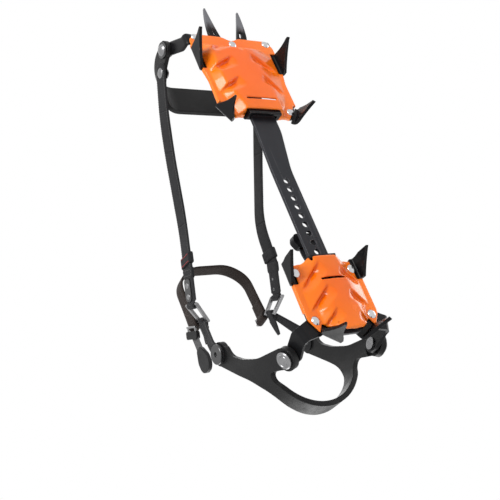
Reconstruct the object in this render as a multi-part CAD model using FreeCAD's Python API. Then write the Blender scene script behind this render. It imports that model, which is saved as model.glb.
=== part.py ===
"""Strap-on ten-point crampon for the right boot, with orange anti-balling plates.

Millimetres.  +Z is up, towards the boot; +Y runs towards the toe; +X is the outer side of the foot.
The origin is on the boot's sole plane, in the middle of the heel frame's rear cross member.
Each STEP file is one sub-part; repeated small pieces are a group of solids in one file.
"""
import FreeCAD, Part
import math
import os

V = FreeCAD.Vector
X_AXIS = V(1, 0, 0)
Y_AXIS = V(0, 1, 0)
Z_AXIS = V(0, 0, 1)

# ---- steel sheet and the ground ----
SHEET = 2.5              # thickness of both frames
BEND = 1.5               # inner radius of every bend
STAND = 25.2             # sole plane down to the tips of the eight down-turned points
TIP_HALF = 0.9           # half width of a point at its tip

# ---- heel section ----
HEEL_RIVET_X = 25.2      # heel plate rivets, half spacing across
HEEL_RIVET_Y = 37.9      # heel plate rivets, spacing along the foot
HEEL_HALF = 31.5         # heel plate, half width
HEEL_FRONT = 50.0        # front edge of the heel plate
HEEL_REAR = -14.2        # rear edge of the heel plate
HEEL_POINT = 17.0        # width of a heel point where it leaves the frame
POST_WIDTH = 13.0        # upright that carries the heel cradle
POST_TURN = 20.0         # its face is turned this far towards the rear
POST_FACE = 37.9         # its outer face, across the foot, at the pivot
POST_LEAN = 5.3          # the pivot lies this far behind the middle of the post's bend
WASHER = 0.8

# ---- front section ----
FRONT_X = -6.5           # middle line of the front section: the bar swings in to meet it
FRONT_REAR = 179.5       # outer face of the hook flange at its rear
FRONT_FRONT = 268.5      # front edge of the front plate
FRONT_HALF = 41.5        # front plate, half width at its widest
FRONT_TAB_RIVET = (34.8, 265.0)
FRONT_REAR_RIVET = (28.7, 188.3)
FRONT_NOSE_RIVET = (0.0, 261.1)
FRONT_POINT_TIP = 296.5  # tips of the two forward points
FRONT_POINT_DROP = 7.7   # how far those tips lie below the sole plane

# ---- link bar ----
BAR_WIDTH = 18.0
BAR_THICK = 2.5
BAR_WIDE = 23.0          # width of the bar near the front section
BAR_HEAD = 26.0          # width of its hooked head
BAR_REAR = -13.0         # rear end of the bar
BAR_CLEAR = 0.25         # gap between the bar and what it runs in
HOLE_PITCH = 8.0
HOLE_RADIUS = 2.5
HOLE_COUNT = 15
HOLE_FIRST = 117.6       # hole nearest the toe
PIN_HOLE = 10            # the lock pin sits in this hole, counted from the front one as 0

# ---- anti-balling plates ----
PLATE_WALL = 1.6
RIM_WALL = 1.5
RIM_GAP = 0.25           # between the frame's edge and the plate's rim
RIM_TOP = -0.6
HEEL_CREST = -11.6       # lowest face of the heel plate's vault
FRONT_CREST = -11.6
VAULT_WALL = 1.4

# ---- rivets ----
RIVET_SHANK = 2.0
RIVET_HEAD = 3.6
RIVET_RISE = 1.7

# ---- heel cradle ----
CRADLE_X = 40.3          # inner face of its side walls
CRADLE_WALL = 4.0
CRADLE_PIVOT = (-13.3, 20.5)
CRADLE_SCREW = (26.4, 95.0)
CRADLE_MID = 4.0         # behind this the side walls round in towards the heel
CRADLE_DEPTH = 44.5      # from there to the inside of the rear band
LUG_RADIUS = 8.6
LUG_WALL = 4.5
PIVOT_SHANK = 3.0
PIVOT_FIT = 0.06         # running clearance on the radius
LUG_FIT = 0.25           # the same for the turned lugs of the heel cradle
SIDE_GAP = 0.3           # sideways gap between moving faces

# ---- toe basket ----
TOE_X = 43.6             # inner face of its side lugs, from the front section's middle line
TOE_WALL = 3.5
TOE_PIVOT = (279.0, 27.0)
TOE_TOP = 63.0           # inner face of the band over the toes
TOE_STRAP = (265.0, 40.0)  # rivet that ties the side strap to the basket

# ---- straps ----
WEB = 20.0               # webbing width
WEB_THICK = 2.0
LINK_WIDTH = 15.0
RING_MID = (42.0, 79.4, 113.3)   # middle of the side ring's front bar
STRAP_FALL = 24.0        # the side strap leaves it falling towards the toe by this angle
RING_WIDE = 15.5         # between its two rails at the front
RING_NARROW = 12.6       # and at the rear
RING_LONG = 15.5         # between its two bars
RING_TURN = 34.0         # it is turned in towards the ankle by this angle
RING_ARM = 13.0          # length of the arm that carries the ankle strap
BAR_ROUND = 1.3          # radius of its bars
WIRE_FIT = 0.15          # between a bar and the strap looped round it
LOOP_WALL = 1.4
LINK_NECK = 10.0         # width of the link where it leaves the screw
ANKLE_WEB = 13.0         # width of the ankle strap
ANKLE_RISE = 6.0         # it rises towards the toe by this angle
KEEPER_BACK = 4.2        # the keeper sits this far behind the arm that the ankle strap is looped on
KEEPER_DROP = 0.8
KEEPER_TURN = 30.0       # its slot is turned this far from square to the ankle strap
TAB_REACH = 26.0         # stiffened end of the side strap, from the ring's front bar
PLATE_RAISE = 1.9        # the riveted plate sits this much above the strap's middle
STRAP_JOINTS = (236.0, 205.0, 145.0)

# ---- length lock ----
SPRING_WIDTH = 13.0
SPRING_THICK = 1.0
SPRING_RISE = 4.5        # the spring's free end stands this much above the frame
SPRING_REAR = 8.0
SPRING_RIVETS = (12.0, 19.0)
KNOB_REAR = 62.5
KNOB_LONG = 12.0
PIN_RADIUS = 1.95

# ---- details of the front section ----
SECOND_POINT = (FRONT_HALF - 3.4, 242.5)
THIRD_POINT = (33.2, 186.5)
HOOK_X = -4.2            # middle of the bar's head
HOOK_DEPTH = 10.6
HOOK_HALF = 15.0


def save(name, *solids):
    """Write one sub-part; several solids become a group."""
    shape = solids[0] if len(solids) == 1 else Part.makeCompound(list(solids))
    shape.exportStep(f"parts/{name}.step")
    return shape


def outline(corners):
    """Closed flat wire through corners (x, y, radius), each corner rounded by its radius."""
    edges = []
    ends = []
    count = len(corners)
    for i, (x, y, radius) in enumerate(corners):
        here = V(x, y, 0)
        before = V(*corners[i - 1][:2], 0) - here
        after = V(*corners[(i + 1) % count][:2], 0) - here
        if radius == 0:
            ends.append((here, None, here))
            continue
        before.normalize()
        after.normalize()
        half = before.getAngle(after) / 2
        reach = radius / math.tan(half)
        middle = before + after
        middle.normalize()
        apex = here + middle * (radius / math.sin(half) - radius)
        ends.append((here + before * reach, apex, here + after * reach))
    for i, (start, apex, end) in enumerate(ends):
        if apex is not None:
            edges.append(Part.Arc(start, apex, end).toShape())
        follow = ends[(i + 1) % count][0]
        if (follow - end).Length > 1e-6:
            edges.append(Part.LineSegment(end, follow).toShape())
    return Part.Wire(edges)


def prism(corners, low, high):
    """Upright prism of a rounded outline between two heights."""
    face = Part.Face(outline(corners))
    face.translate(V(0, 0, low))
    return face.extrude(V(0, 0, high - low))


def side_prism(corners, low, high):
    """Prism of an outline given as (y, z, radius), running along X."""
    face = Part.Face(outline(corners))
    face.rotate(V(0, 0, 0), V(1, 1, 1), 120)
    face.translate(V(low, 0, 0))
    return face.extrude(V(high - low, 0, 0))


def mirrored(shape, x=0.0):
    return shape.mirror(V(x, 0, 0), X_AXIS)


def both_sides(shape, x=0.0):
    return [shape, mirrored(shape, x)]


def fuse(first, *others):
    return first.fuse(list(others)).removeSplitter()


def rod(radius, start, axis, length):
    return Part.makeCylinder(radius, length, start, axis)


def domed_head(radius, rise, seat, axis):
    """Low domed head whose flat side lies on seat."""
    ball = (radius ** 2 + rise ** 2) / (2 * rise)
    full = math.asin(radius / ball)
    crown = []
    for turn in (0.25 * full, 0.6 * full, full):
        crown.append(V(ball * math.sin(turn), 0, rise - ball + ball * math.cos(turn)))
    centre = V(0, 0, crown[0].z)
    edges = [
        Part.LineSegment(centre, crown[0]), Part.Arc(*crown),
        Part.LineSegment(crown[2], V(0, 0, 0)), Part.LineSegment(V(0, 0, 0), centre),
    ]
    face = Part.Face(Part.Wire([edge.toShape() for edge in edges]))
    head = face.revolve(V(0, 0, 0), Z_AXIS, 360)
    turn = FreeCAD.Rotation(Z_AXIS, axis)
    head.Placement = FreeCAD.Placement(seat, turn).multiply(head.Placement)
    return head


def turned(profile, seat, axis):
    """Solid of revolution from (radius, height) corners, standing on seat along axis."""
    points = [V(radius, 0, height) for radius, height in profile]
    solid = Part.Face(Part.makePolygon(points + points[:1])).revolve(V(0, 0, 0), Z_AXIS, 360)
    turn = FreeCAD.Rotation(Z_AXIS, axis)
    solid.Placement = FreeCAD.Placement(seat, turn).multiply(solid.Placement)
    return solid


def bent_tab(mid, heading, width, run, fold, length, up=False):
    """Tab that leaves the sheet's edge at mid, heading outwards, and folds down or up by fold degrees.

    run is how far it reaches back into the sheet and length how far it goes on past the bend.
    """
    fold = math.radians(fold)
    across = V(math.sin(fold), 0, math.cos(fold))
    along = V(math.cos(fold), 0, -math.sin(fold))
    centre = V(0, 0, -SHEET - BEND)
    half = V(math.sin(fold / 2), 0, math.cos(fold / 2))
    outer = BEND + SHEET
    top = centre + across * outer
    low = centre + across * BEND
    edges = [
        Part.LineSegment(V(-run, 0, 0), V(0, 0, 0)),
        Part.Arc(V(0, 0, 0), centre + half * outer, top),
        Part.LineSegment(top, top + along * length),
        Part.LineSegment(top + along * length, low + along * length),
        Part.LineSegment(low + along * length, low),
        Part.Arc(low, centre + half * BEND, V(0, 0, -SHEET)),
        Part.LineSegment(V(0, 0, -SHEET), V(-run, 0, -SHEET)),
        Part.LineSegment(V(-run, 0, -SHEET), V(-run, 0, 0)),
    ]
    face = Part.Face(Part.Wire([edge.toShape() for edge in edges]))
    tab = face.extrude(V(0, width, 0))
    tab.translate(V(0, -width / 2, 0))
    if up:
        tab = tab.mirror(V(0, 0, -SHEET / 2), Z_AXIS)
    return placed(tab, mid, heading)


def placed(shape, mid, heading):
    shape.rotate(V(0, 0, 0), Z_AXIS, heading)
    shape.translate(V(mid[0], mid[1], 0))
    return shape


def down_point(mid, heading, width, sweep, lean, run=1.0):
    """One tooth: a tab folded down and cut to a curved blade whose tip is swept along its edge."""
    tab = bent_tab((0, 0), 0, width + 2, run, 90 - lean, STAND + 6)
    shoulder = -SHEET - BEND - 2
    tip = -STAND
    right = V(0, width / 2, shoulder)
    left = V(0, -width / 2, shoulder)
    tip_right = V(0, sweep + TIP_HALF, tip + TIP_HALF)
    tip_left = V(0, sweep - TIP_HALF, tip + TIP_HALF)
    hollow = 0.055 * (STAND + shoulder)
    side = (right + tip_right) * 0.5 - V(0, hollow, 0)
    other = (left + tip_left) * 0.5 + V(0, hollow, 0)
    edges = [
        Part.LineSegment(V(0, -width / 2, 1), V(0, width / 2, 1)),
        Part.LineSegment(V(0, width / 2, 1), right),
        Part.Arc(right, side, tip_right),
        Part.Arc(tip_right, V(0, sweep, tip), tip_left),
        Part.Arc(tip_left, other, left),
        Part.LineSegment(left, V(0, -width / 2, 1)),
    ]
    face = Part.Face(Part.Wire([edge.toShape() for edge in edges]))
    cutter = face.extrude(V(60, 0, 0))
    cutter.translate(V(-run - 1, 0, 0))
    return placed(tab.common(cutter), mid, heading)


def loft_between(low_corners, low, high_corners, high):
    low_wire = outline(low_corners)
    low_wire.translate(V(0, 0, low))
    high_wire = outline(high_corners)
    high_wire.translate(V(0, 0, high))
    return Part.makeLoft([low_wire, high_wire], True, True)


def shrunk(corners, amount, mid):
    """Same outline pulled in by amount along both axes towards the point mid."""
    result = []
    for x, y, radius in corners:
        dx = x - mid[0]
        dy = y - mid[1]
        nx = mid[0] + dx - math.copysign(min(amount, abs(dx)), dx)
        ny = mid[1] + dy - math.copysign(min(amount, abs(dy)), dy)
        result.append((nx, ny, radius))
    return result


def mirrored_outline(right_side, x=0.0):
    """Close an outline from its +X half, listed front to rear."""
    left_side = [(-px, py, radius) for px, py, radius in reversed(right_side) if px > 1e-9]
    return [(px + x, py, radius) for px, py, radius in right_side + left_side]


def box(low, high):
    return Part.makeBox(high[0] - low[0], high[1] - low[1], high[2] - low[2], V(*low))


# ---- shared levels ----
FRAME_UNDER = -SHEET
BAR_TOP = FRAME_UNDER - BAR_CLEAR
BAR_UNDER = BAR_TOP - BAR_THICK
SLOT_UNDER = BAR_UNDER - BAR_CLEAR
PLATE_UNDER = FRAME_UNDER - PLATE_WALL
PIN_Y = HOLE_FIRST - HOLE_PITCH * PIN_HOLE
HOOK_Y = FRONT_REAR + BEND + SHEET
HOOK_UNDER = SLOT_UNDER - 2.6
HEEL_NOTCH_FRONT = HEEL_FRONT - 5.0
HEEL_NOTCH_REAR = HEEL_REAR + 8.0
HEEL_REAR_POINT = (16.0, -10.6)
REAR_HEADING = -57
FLANGE_HALF = 11.5
FLANGE_DEPTH = 9.5
SLOT_HALF = BAR_WIDTH / 2 + 0.4


def slot_flange(x, y, width, slot_width, slot_under, depth, rear):
    """Cross flange folded down from the frame's edge, with the slot that the bar runs through."""
    heading = -90 if rear else 90
    flange = bent_tab((x, y), heading, width, 1.0, 90, depth - SHEET - BEND)
    sign = -1 if rear else 1
    reach = sign * (BEND + SHEET + 2)
    ys = sorted((y - sign * 1.0, y + reach))
    slot = box((x - slot_width / 2, ys[0], slot_under), (x + slot_width / 2, ys[1], FRAME_UNDER))
    return flange.cut(slot)


def make_link_bar():
    """Flat steel bar: straight through the heel section, then a gentle swing inwards to its hooked head."""
    half = BAR_WIDTH / 2
    wide = BAR_WIDE / 2
    head = BAR_HEAD / 2
    swing_start = 128.0
    neck = FRONT_REAR - 14
    middle = -4.2
    lock = FRONT_REAR + SHEET + BEND + 0.2
    corners = [
        (half, BAR_REAR, 3), (half, swing_start, 60), (middle + wide, neck, 40),
        (middle + wide, lock, 0.5), (middle + head, lock, 1.5),
        (middle + head, lock + 10, 3), (middle - head, lock + 10, 3),
        (middle - head, lock, 1.5), (middle - wide, lock, 0.5),
        (middle - wide, neck, 40), (-half, swing_start, 60), (-half, BAR_REAR, 3),
    ]
    bar = prism(corners, BAR_UNDER, BAR_TOP)
    for i in range(HOLE_COUNT):
        y = HOLE_FIRST - HOLE_PITCH * i
        bar = bar.cut(rod(HOLE_RADIUS, V(0, y, BAR_UNDER - 1), Z_AXIS, BAR_THICK + 2))
    return bar


# ---- heel section ----
def heel_outline():
    right_side = [
        (9, HEEL_FRONT, 7), (17, HEEL_FRONT - 5, 6), (HEEL_HALF - 2.5, HEEL_FRONT - 6.2, 4),
        (HEEL_HALF, HEEL_FRONT - 12, 5), (HEEL_HALF, 0.8, 7), (24, HEEL_REAR + 4, 6),
        (10, HEEL_REAR, 10),
    ]
    return mirrored_outline(right_side)


def heel_rivet_spots():
    return [(x, y) for x in (-HEEL_RIVET_X, HEEL_RIVET_X) for y in (0.0, HEEL_RIVET_Y)]


def sheet_inside(corners, inset):
    """Frame sheet that fits inside a plate's rim."""
    wire = outline(corners).makeOffset2D(-inset)
    face = Part.Face(wire)
    return face.extrude(V(0, 0, -SHEET))


def heel_points():
    front = down_point((HEEL_HALF - 1.9, 38.4), 0, HEEL_POINT, 14.8, 6)
    rear = down_point(HEEL_REAR_POINT, REAR_HEADING, HEEL_POINT - 0.6, 1.0, 6, 5.0)
    return both_sides(front) + both_sides(rear)


def post_axis():
    """Outward direction of the +X post's face, and the direction forward along it."""
    turn = math.radians(POST_TURN)
    return V(math.cos(turn), -math.sin(turn), 0), V(math.sin(turn), math.cos(turn), 0)


def pivot_at(distance):
    """Point on the +X pivot's axis, so far out from the post's outer face."""
    return V(POST_FACE, *CRADLE_PIVOT) + post_axis()[0] * distance


def pivot_holes(radius):
    hole = rod(radius, pivot_at(-15), post_axis()[0], 40)
    return both_sides(hole)


def heel_post():
    """Upright at the frame's rear corner, turned and leaning back, with the cradle's pivot."""
    out, along = post_axis()
    z = CRADLE_PIVOT[1]
    half = POST_WIDTH / 2
    foot = half - 0.5
    root = pivot_at(-SHEET - BEND) + along * POST_LEAN
    front = root + along * foot
    rear = root - along * foot
    tip = out * 0.01
    front += tip
    rear += tip
    ear = [(21, -10, 2), (27, 4, 2), (front.x, front.y, 0), (rear.x, rear.y, 0)]
    flat = prism(ear, -SHEET, 0)
    upright = bent_tab((0, 0), 0, 30, 0.5, 90, z + half - BEND, up=True)
    top = z + half
    crown = [
        (foot, -5, 0), (foot, 5, 9), (half - POST_LEAN, z - 3, 9), (half - POST_LEAN, top, half - 0.01),
        (-half - POST_LEAN, top, half - 0.01), (-half - POST_LEAN, z - 5, 9), (-foot, 3, 9), (-foot, -5, 0),
    ]
    upright = placed(upright.common(side_prism(crown, -2, 60)), (root.x, root.y), -POST_TURN)
    return flat.fuse(upright)


def make_heel_frame():
    frame = sheet_inside(heel_outline(), RIM_WALL + RIM_GAP)
    frame = frame.cut(box((-14, HEEL_NOTCH_FRONT, -9), (14, HEEL_FRONT + 2, 9)))
    frame = frame.cut(box((-14, HEEL_REAR - 2, -9), (14, HEEL_NOTCH_REAR, 9)))
    frame = frame.cut(rod(PIN_RADIUS + 0.9, V(0, PIN_Y, -9), Z_AXIS, 18))
    for side in (-1, 1):
        hole = [(side * x, y, 2) for x, y in ((17.5, 12), (24, 12), (24, 26), (17.5, 26))]
        frame = frame.cut(prism(hole, -9, 9))
    width = 2 * FLANGE_HALF
    front = slot_flange(0, HEEL_NOTCH_FRONT, width, 2 * SLOT_HALF, SLOT_UNDER, FLANGE_DEPTH, False)
    rear = slot_flange(0, HEEL_NOTCH_REAR, width, 2 * SLOT_HALF, SLOT_UNDER, FLANGE_DEPTH, True)
    frame = fuse(frame, front, rear, *heel_points(), *both_sides(heel_post()))
    for x, y in heel_rivet_spots():
        frame = frame.cut(rod(RIVET_SHANK + 0.05, V(x, y, -9), Z_AXIS, 18))
    for y in SPRING_RIVETS:
        frame = frame.cut(rod(1.55, V(0, y, -9), Z_AXIS, 18))
    return frame.cut(pivot_holes(PIVOT_SHANK + 0.05))


def spheroid(ends, wide):
    """Long rounded body between two points, used to sink a scoop into a vault."""
    start = V(*ends[0])
    axis = V(*ends[1]) - start
    half = axis.Length / 2
    arc = Part.Ellipse(V(0, 0, half), V(wide, 0, 0), V(0, 0, 0)).toShape(-math.pi, 0)
    if arc.BoundBox.XMax < wide / 2:
        arc = Part.Ellipse(V(0, 0, half), V(wide, 0, 0), V(0, 0, 0)).toShape(0, math.pi)
    face = Part.Face(Part.Wire([arc, Part.LineSegment(V(0, 0, half), V(0, 0, -half)).toShape()]))
    body = face.revolve(V(0, 0, 0), Z_AXIS, 360)
    turn = FreeCAD.Rotation(Z_AXIS, axis)
    body.Placement = FreeCAD.Placement(start + axis * 0.5, turn).multiply(body.Placement)
    return body


def longer(ends, amount):
    axis = V(*ends[1]) - V(*ends[0])
    axis.normalize()
    return [V(*ends[0]) - axis * amount, V(*ends[1]) + axis * amount]


def antiball_plate(corners, vault_low, vault_high, crest, rivets, gates, mid, scoops):
    """Moulded tray that clips under a frame: flat flange, upturned rim and a deep faceted vault."""
    under = outline(corners)
    under.translate(V(0, 0, PLATE_UNDER))
    tray = Part.Face(under).extrude(V(0, 0, RIM_TOP - PLATE_UNDER))
    inner = outline(corners).makeOffset2D(-RIM_WALL)
    inner.translate(V(0, 0, FRAME_UNDER))
    tray = tray.cut(Part.Face(inner).extrude(V(0, 0, 10)))
    vault = loft_between(vault_low, PLATE_UNDER, vault_high, crest)
    hollow_low = shrunk(vault_low, VAULT_WALL, mid)
    hollow_high = shrunk(vault_high, VAULT_WALL, mid)
    hollow = loft_between(hollow_low, FRAME_UNDER, hollow_high, crest + VAULT_WALL)
    plate = tray.fuse(vault).cut(hollow)
    for ends, wide in scoops:
        pocket = spheroid(longer(ends, VAULT_WALL), wide + VAULT_WALL).common(vault)
        plate = plate.fuse(pocket)
    for ends, wide in scoops:
        plate = plate.cut(spheroid(ends, wide))
    for gate in gates:
        plate = plate.cut(gate)
    for x, y in rivets:
        plate = plate.cut(rod(RIVET_SHANK + 0.05, V(x, y, -20), Z_AXIS, 30))
    return plate.removeSplitter()


def rim_gate(mid, heading, width, depth=9.0):
    """Opening in the rim where a point or bracket leaves the frame."""
    gate = box((-4.0, -width / 2, FRAME_UNDER - depth), (9.0, width / 2, 3))
    return placed(gate, mid, heading)


def heel_scoops():
    """Three long hollows down each flank of the heel plate; the outer ones are the deeper."""
    scoops = []
    for front, rear in ((38.0, 24.5), (19.5, 6.5), (2.5, -7.0)):
        tail = 22.5 if rear < 0 else 26.0
        scoops.append((((9.5, front, HEEL_CREST - 3.2), (tail, rear, PLATE_UNDER - 3.6)), 4.8))
        scoops.append((((-14.0, front - 1, HEEL_CREST - 2.2), (-tail, rear + 3, PLATE_UNDER - 4.2)), 3.6))
    return scoops


def make_heel_plate():
    front = HEEL_FRONT
    rear = HEEL_REAR
    low = mirrored_outline([(12, front - 1.2, 5), (21, front - 7.5, 5), (21, -6, 6), (10, rear + 1, 6)])
    high = mirrored_outline([(9, front - 3.2, 3), (10.6, front - 8, 3), (12, -6, 4), (8, rear + 1.6, 4)])
    gates = [
        box((-12.2, HEEL_NOTCH_FRONT - 1, -FLANGE_DEPTH - 0.4), (12.2, HEEL_FRONT + 3, 2)),
        box((-12.2, HEEL_REAR - 3, -FLANGE_DEPTH - 0.4), (12.2, HEEL_NOTCH_REAR + 1, 2)),
        box((-11.0, 27.7, HEEL_CREST - 1), (11.0, 29.3, HEEL_CREST + 3)),
    ]
    rear_gate = rim_gate((HEEL_REAR_POINT[0] + 0.2, HEEL_REAR_POINT[1] - 0.3), REAR_HEADING, HEEL_POINT + 0.4)
    corner = prism([(19, -12, 0), (25, 8, 0), (46, 4, 0), (46, -26, 0)], FRAME_UNDER - 0.2, 2)
    gates += both_sides(rim_gate((HEEL_HALF - 1.2, 38.0), 0, HEEL_POINT + 1))
    gates += both_sides(rear_gate) + both_sides(corner)
    return antiball_plate(
        heel_outline(), low, high, HEEL_CREST, heel_rivet_spots(), gates, (0, 18), heel_scoops())


def plate_rivet(x, y):
    head = domed_head(RIVET_HEAD, RIVET_RISE, V(x, y, PLATE_UNDER), V(0, 0, -1))
    return head.fuse(rod(RIVET_SHANK, V(x, y, PLATE_UNDER), Z_AXIS, -PLATE_UNDER)).removeSplitter()


# ---- length lock ----
def make_lock_spring():
    """Leaf spring, riveted to the heel frame, that carries the lock pin and the knob."""
    step = PIN_Y + 6
    tail = KNOB_REAR + KNOB_LONG - 3
    rise = SPRING_RISE
    t = SPRING_THICK
    side = [
        (SPRING_REAR, 0, 0), (step, 0, 8), (step + 11, rise, 8), (tail, rise, 0),
        (tail, rise + t, 0), (step + 11 - 0.4, rise + t, 9), (step - 0.4, t, 7), (SPRING_REAR, t, 0),
    ]
    spring = side_prism(side, -SPRING_WIDTH / 2, SPRING_WIDTH / 2)
    for y in SPRING_RIVETS:
        spring = spring.cut(rod(1.55, V(0, y, -2), Z_AXIS, 5))
    return spring.cut(rod(1.3, V(0, PIN_Y, -2), Z_AXIS, 5))


def make_spring_rivets():
    solids = []
    for y in SPRING_RIVETS:
        head = domed_head(2.7, 1.0, V(0, y, SPRING_THICK), Z_AXIS)
        solids.append(head.fuse(rod(1.5, V(0, y, -SHEET), Z_AXIS, SHEET + SPRING_THICK)).removeSplitter())
    return solids


def make_lock_pin():
    """Pin with a tapered nose, riveted through the spring."""
    nose = Part.makeCone(1.2, PIN_RADIUS, 1.2, V(0, PIN_Y, BAR_UNDER), Z_AXIS)
    shank = rod(PIN_RADIUS, V(0, PIN_Y, BAR_UNDER + 1.2), Z_AXIS, -BAR_UNDER - 1.2 - 0.05)
    neck = rod(1.2, V(0, PIN_Y, -0.05), Z_AXIS, SPRING_THICK + 0.1)
    head = domed_head(2.4, 0.8, V(0, PIN_Y, SPRING_THICK + 0.05), Z_AXIS)
    return fuse(nose, shank, neck, head)


def make_lock_knob():
    """Thumb knob moulded over the spring's free end."""
    y = KNOB_REAR
    base = SPRING_RISE - 2.2
    wide = y + 0.5 * KNOB_LONG
    far = y + KNOB_LONG
    corners = [(-7.5, y, 3), (7.5, y, 3), (10.6, wide, 4), (8, far, 4), (-8, far, 4), (-10.6, wide, 4)]
    knob = prism(corners, base, base + 5.4)
    half = SPRING_WIDTH / 2 + 0.1
    over = SPRING_RISE + SPRING_THICK
    return knob.cut(box((-half, y - 1, SPRING_RISE - 0.1), (half, far - 2.9, over + 0.1)))


# ---- front section ----
def front_outline():
    right_side = [
        (0.0, FRONT_FRONT - 4, 8), (8, FRONT_FRONT, 5), (34, FRONT_FRONT + 0.5, 5),
        (FRONT_HALF - 0.5, FRONT_FRONT - 6, 5), (FRONT_HALF, FRONT_FRONT - 27, 15),
        (37.0, FRONT_FRONT - 50, 30), (37.5, FRONT_FRONT - 74, 10), (34.5, 184.5, 5),
        (29, 180.6, 4), (21, 182.6, 6), (16, FRONT_REAR + 2, 4),
    ]
    return mirrored_outline(right_side, FRONT_X)


def front_rivet_spots():
    spots = [(FRONT_X + FRONT_NOSE_RIVET[0], FRONT_NOSE_RIVET[1])]
    for x, y in (FRONT_TAB_RIVET, FRONT_REAR_RIVET):
        spots += [(FRONT_X + x, y), (FRONT_X - x, y)]
    return spots


def forward_point():
    """One of the two flat points that reach ahead of the toe, bent slightly down."""
    root = FRONT_FRONT - 6
    tip_y = FRONT_POINT_TIP
    drop = FRONT_POINT_DROP
    plan = [
        V(5.0, root, 0), V(16.5, root, 0), V(18.6, root + 9, 0),
        V(17.3, tip_y, 0), V(15.5, tip_y, 0), V(9.0, root + 9, 0),
    ]
    edges = [
        Part.LineSegment(plan[0], plan[1]), Part.LineSegment(plan[1], plan[2]),
        Part.Arc(plan[2], V(18.6, root + 22, 0), plan[3]),
        Part.Arc(plan[3], V(16.4, tip_y + 0.9, 0), plan[4]),
        Part.Arc(plan[4], V(12.2, root + 20, 0), plan[5]), Part.LineSegment(plan[5], plan[0]),
    ]
    blade = Part.Face(Part.Wire([edge.toShape() for edge in edges]))
    blade.translate(V(0, 0, -30))
    blade = blade.extrude(V(0, 0, 40))
    bend_y = root + 3
    back_y = root - 1
    end_y = tip_y + 1
    middle = (bend_y + tip_y) / 2
    side = [
        Part.LineSegment(V(0, back_y, 0), V(0, bend_y, 0)),
        Part.Arc(V(0, bend_y, 0), V(0, middle, -0.30 * drop), V(0, end_y, 1.2 - drop)),
        Part.LineSegment(V(0, end_y, 1.2 - drop), V(0, end_y, -drop)),
        Part.Arc(V(0, end_y, -drop), V(0, middle, -0.34 * drop - SHEET), V(0, bend_y, -SHEET)),
        Part.LineSegment(V(0, bend_y, -SHEET), V(0, back_y, -SHEET)),
        Part.LineSegment(V(0, back_y, -SHEET), V(0, back_y, 0)),
    ]
    curve = Part.Face(Part.Wire([edge.toShape() for edge in side])).extrude(V(30, 0, 0))
    slot = [(11.0, root + 8, 1), (14.0, root + 8, 1), (15.2, root + 15, 1), (12.6, root + 15, 1)]
    return blade.common(curve).cut(prism(slot, -20, 10))


def toe_bracket():
    """Ear folded up beside the toe, with the pivot of the toe basket."""
    y, z = TOE_PIVOT
    half = 5.5
    root = TOE_X - SIDE_GAP - SHEET - BEND
    start = y - 14
    edge = root + 0.01
    ear = [(30, start - 9, 2), (edge, start - half, 0), (edge, start + half, 0), (33, start + 2, 2)]
    flat = prism(ear, -SHEET, 0)
    upright = bent_tab((root, y), 0, 50, 0.5, 90, z + 8 - BEND, up=True)
    crown = [
        (start - half, -5, 0), (start - half, 4, 6), (y - 6, z - 2, 6), (y - 6, z + 6.5, 5.9),
        (y + 6, z + 6.5, 5.9), (y + 6, z - 6, 8), (start + half, 2, 8), (start + half, -5, 0),
    ]
    return flat.fuse(upright.common(side_prism(crown, 0, 60)))


def front_pieces():
    """Everything that is the same on both sides of the front frame, on its own middle line."""
    second = down_point(SECOND_POINT, 0, 22.0, 11.5, 5)
    third = down_point(THIRD_POINT, -32, 17.0, -1.0, 8)
    return [second, third, forward_point(), toe_bracket()]


def make_front_frame():
    frame = sheet_inside(front_outline(), RIM_WALL + RIM_GAP)
    for side in (-1, 1):
        corners = ((7, 200, 4), (28, 200, 4), (30, 246, 5), (7, 246, 5))
        window = [(FRONT_X + side * x, y, radius) for x, y, radius in corners]
        frame = frame.cut(prism(window, -9, 9))
    slot_x = HOOK_X
    relief = box((slot_x - HOOK_HALF - 2, FRONT_REAR - 3, -9), (slot_x + HOOK_HALF + 2, HOOK_Y, 9))
    frame = frame.cut(relief)
    flange = slot_flange(slot_x, HOOK_Y, 2 * HOOK_HALF, BAR_WIDE + 1.0, HOOK_UNDER, HOOK_DEPTH, True)
    pieces = []
    for piece in front_pieces():
        piece.translate(V(FRONT_X, 0, 0))
        pieces += both_sides(piece, FRONT_X)
    frame = fuse(frame, flange, *pieces)
    left = slot_x - 15.5
    right = slot_x + 15.5
    near = HOOK_Y + 6
    far = HOOK_Y + 17
    frame = frame.cut(prism([(left, near, 3), (right, near, 3), (right, far, 3), (left, far, 3)], -9, 9))
    for x, y in front_rivet_spots():
        frame = frame.cut(rod(RIVET_SHANK + 0.05, V(x, y, -9), Z_AXIS, 18))
    y, z = TOE_PIVOT
    return frame.cut(rod(PIVOT_SHANK + 0.05, V(-70, y, z), X_AXIS, 140))


def front_scoops():
    """Hollows that break the ridges of the front plate."""
    top = FRONT_CREST
    low = PLATE_UNDER
    return [
        (((4.0, 250.0, top - 3.0), (12.0, 263.0, low - 4.4)), 4.2),
        (((7.0, 229.5, top - 3.2), (25.5, 241.0, low - 4.6)), 4.6),
        (((7.0, 205.5, top - 3.2), (25.5, 217.5, low - 4.2)), 4.6),
        (((-16.5, 238.0, top - 3.2), (-35.0, 233.0, low - 4.6)), 4.4),
        (((-18.5, 214.5, top - 3.2), (-36.0, 210.0, low - 4.2)), 4.4),
    ]


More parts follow.
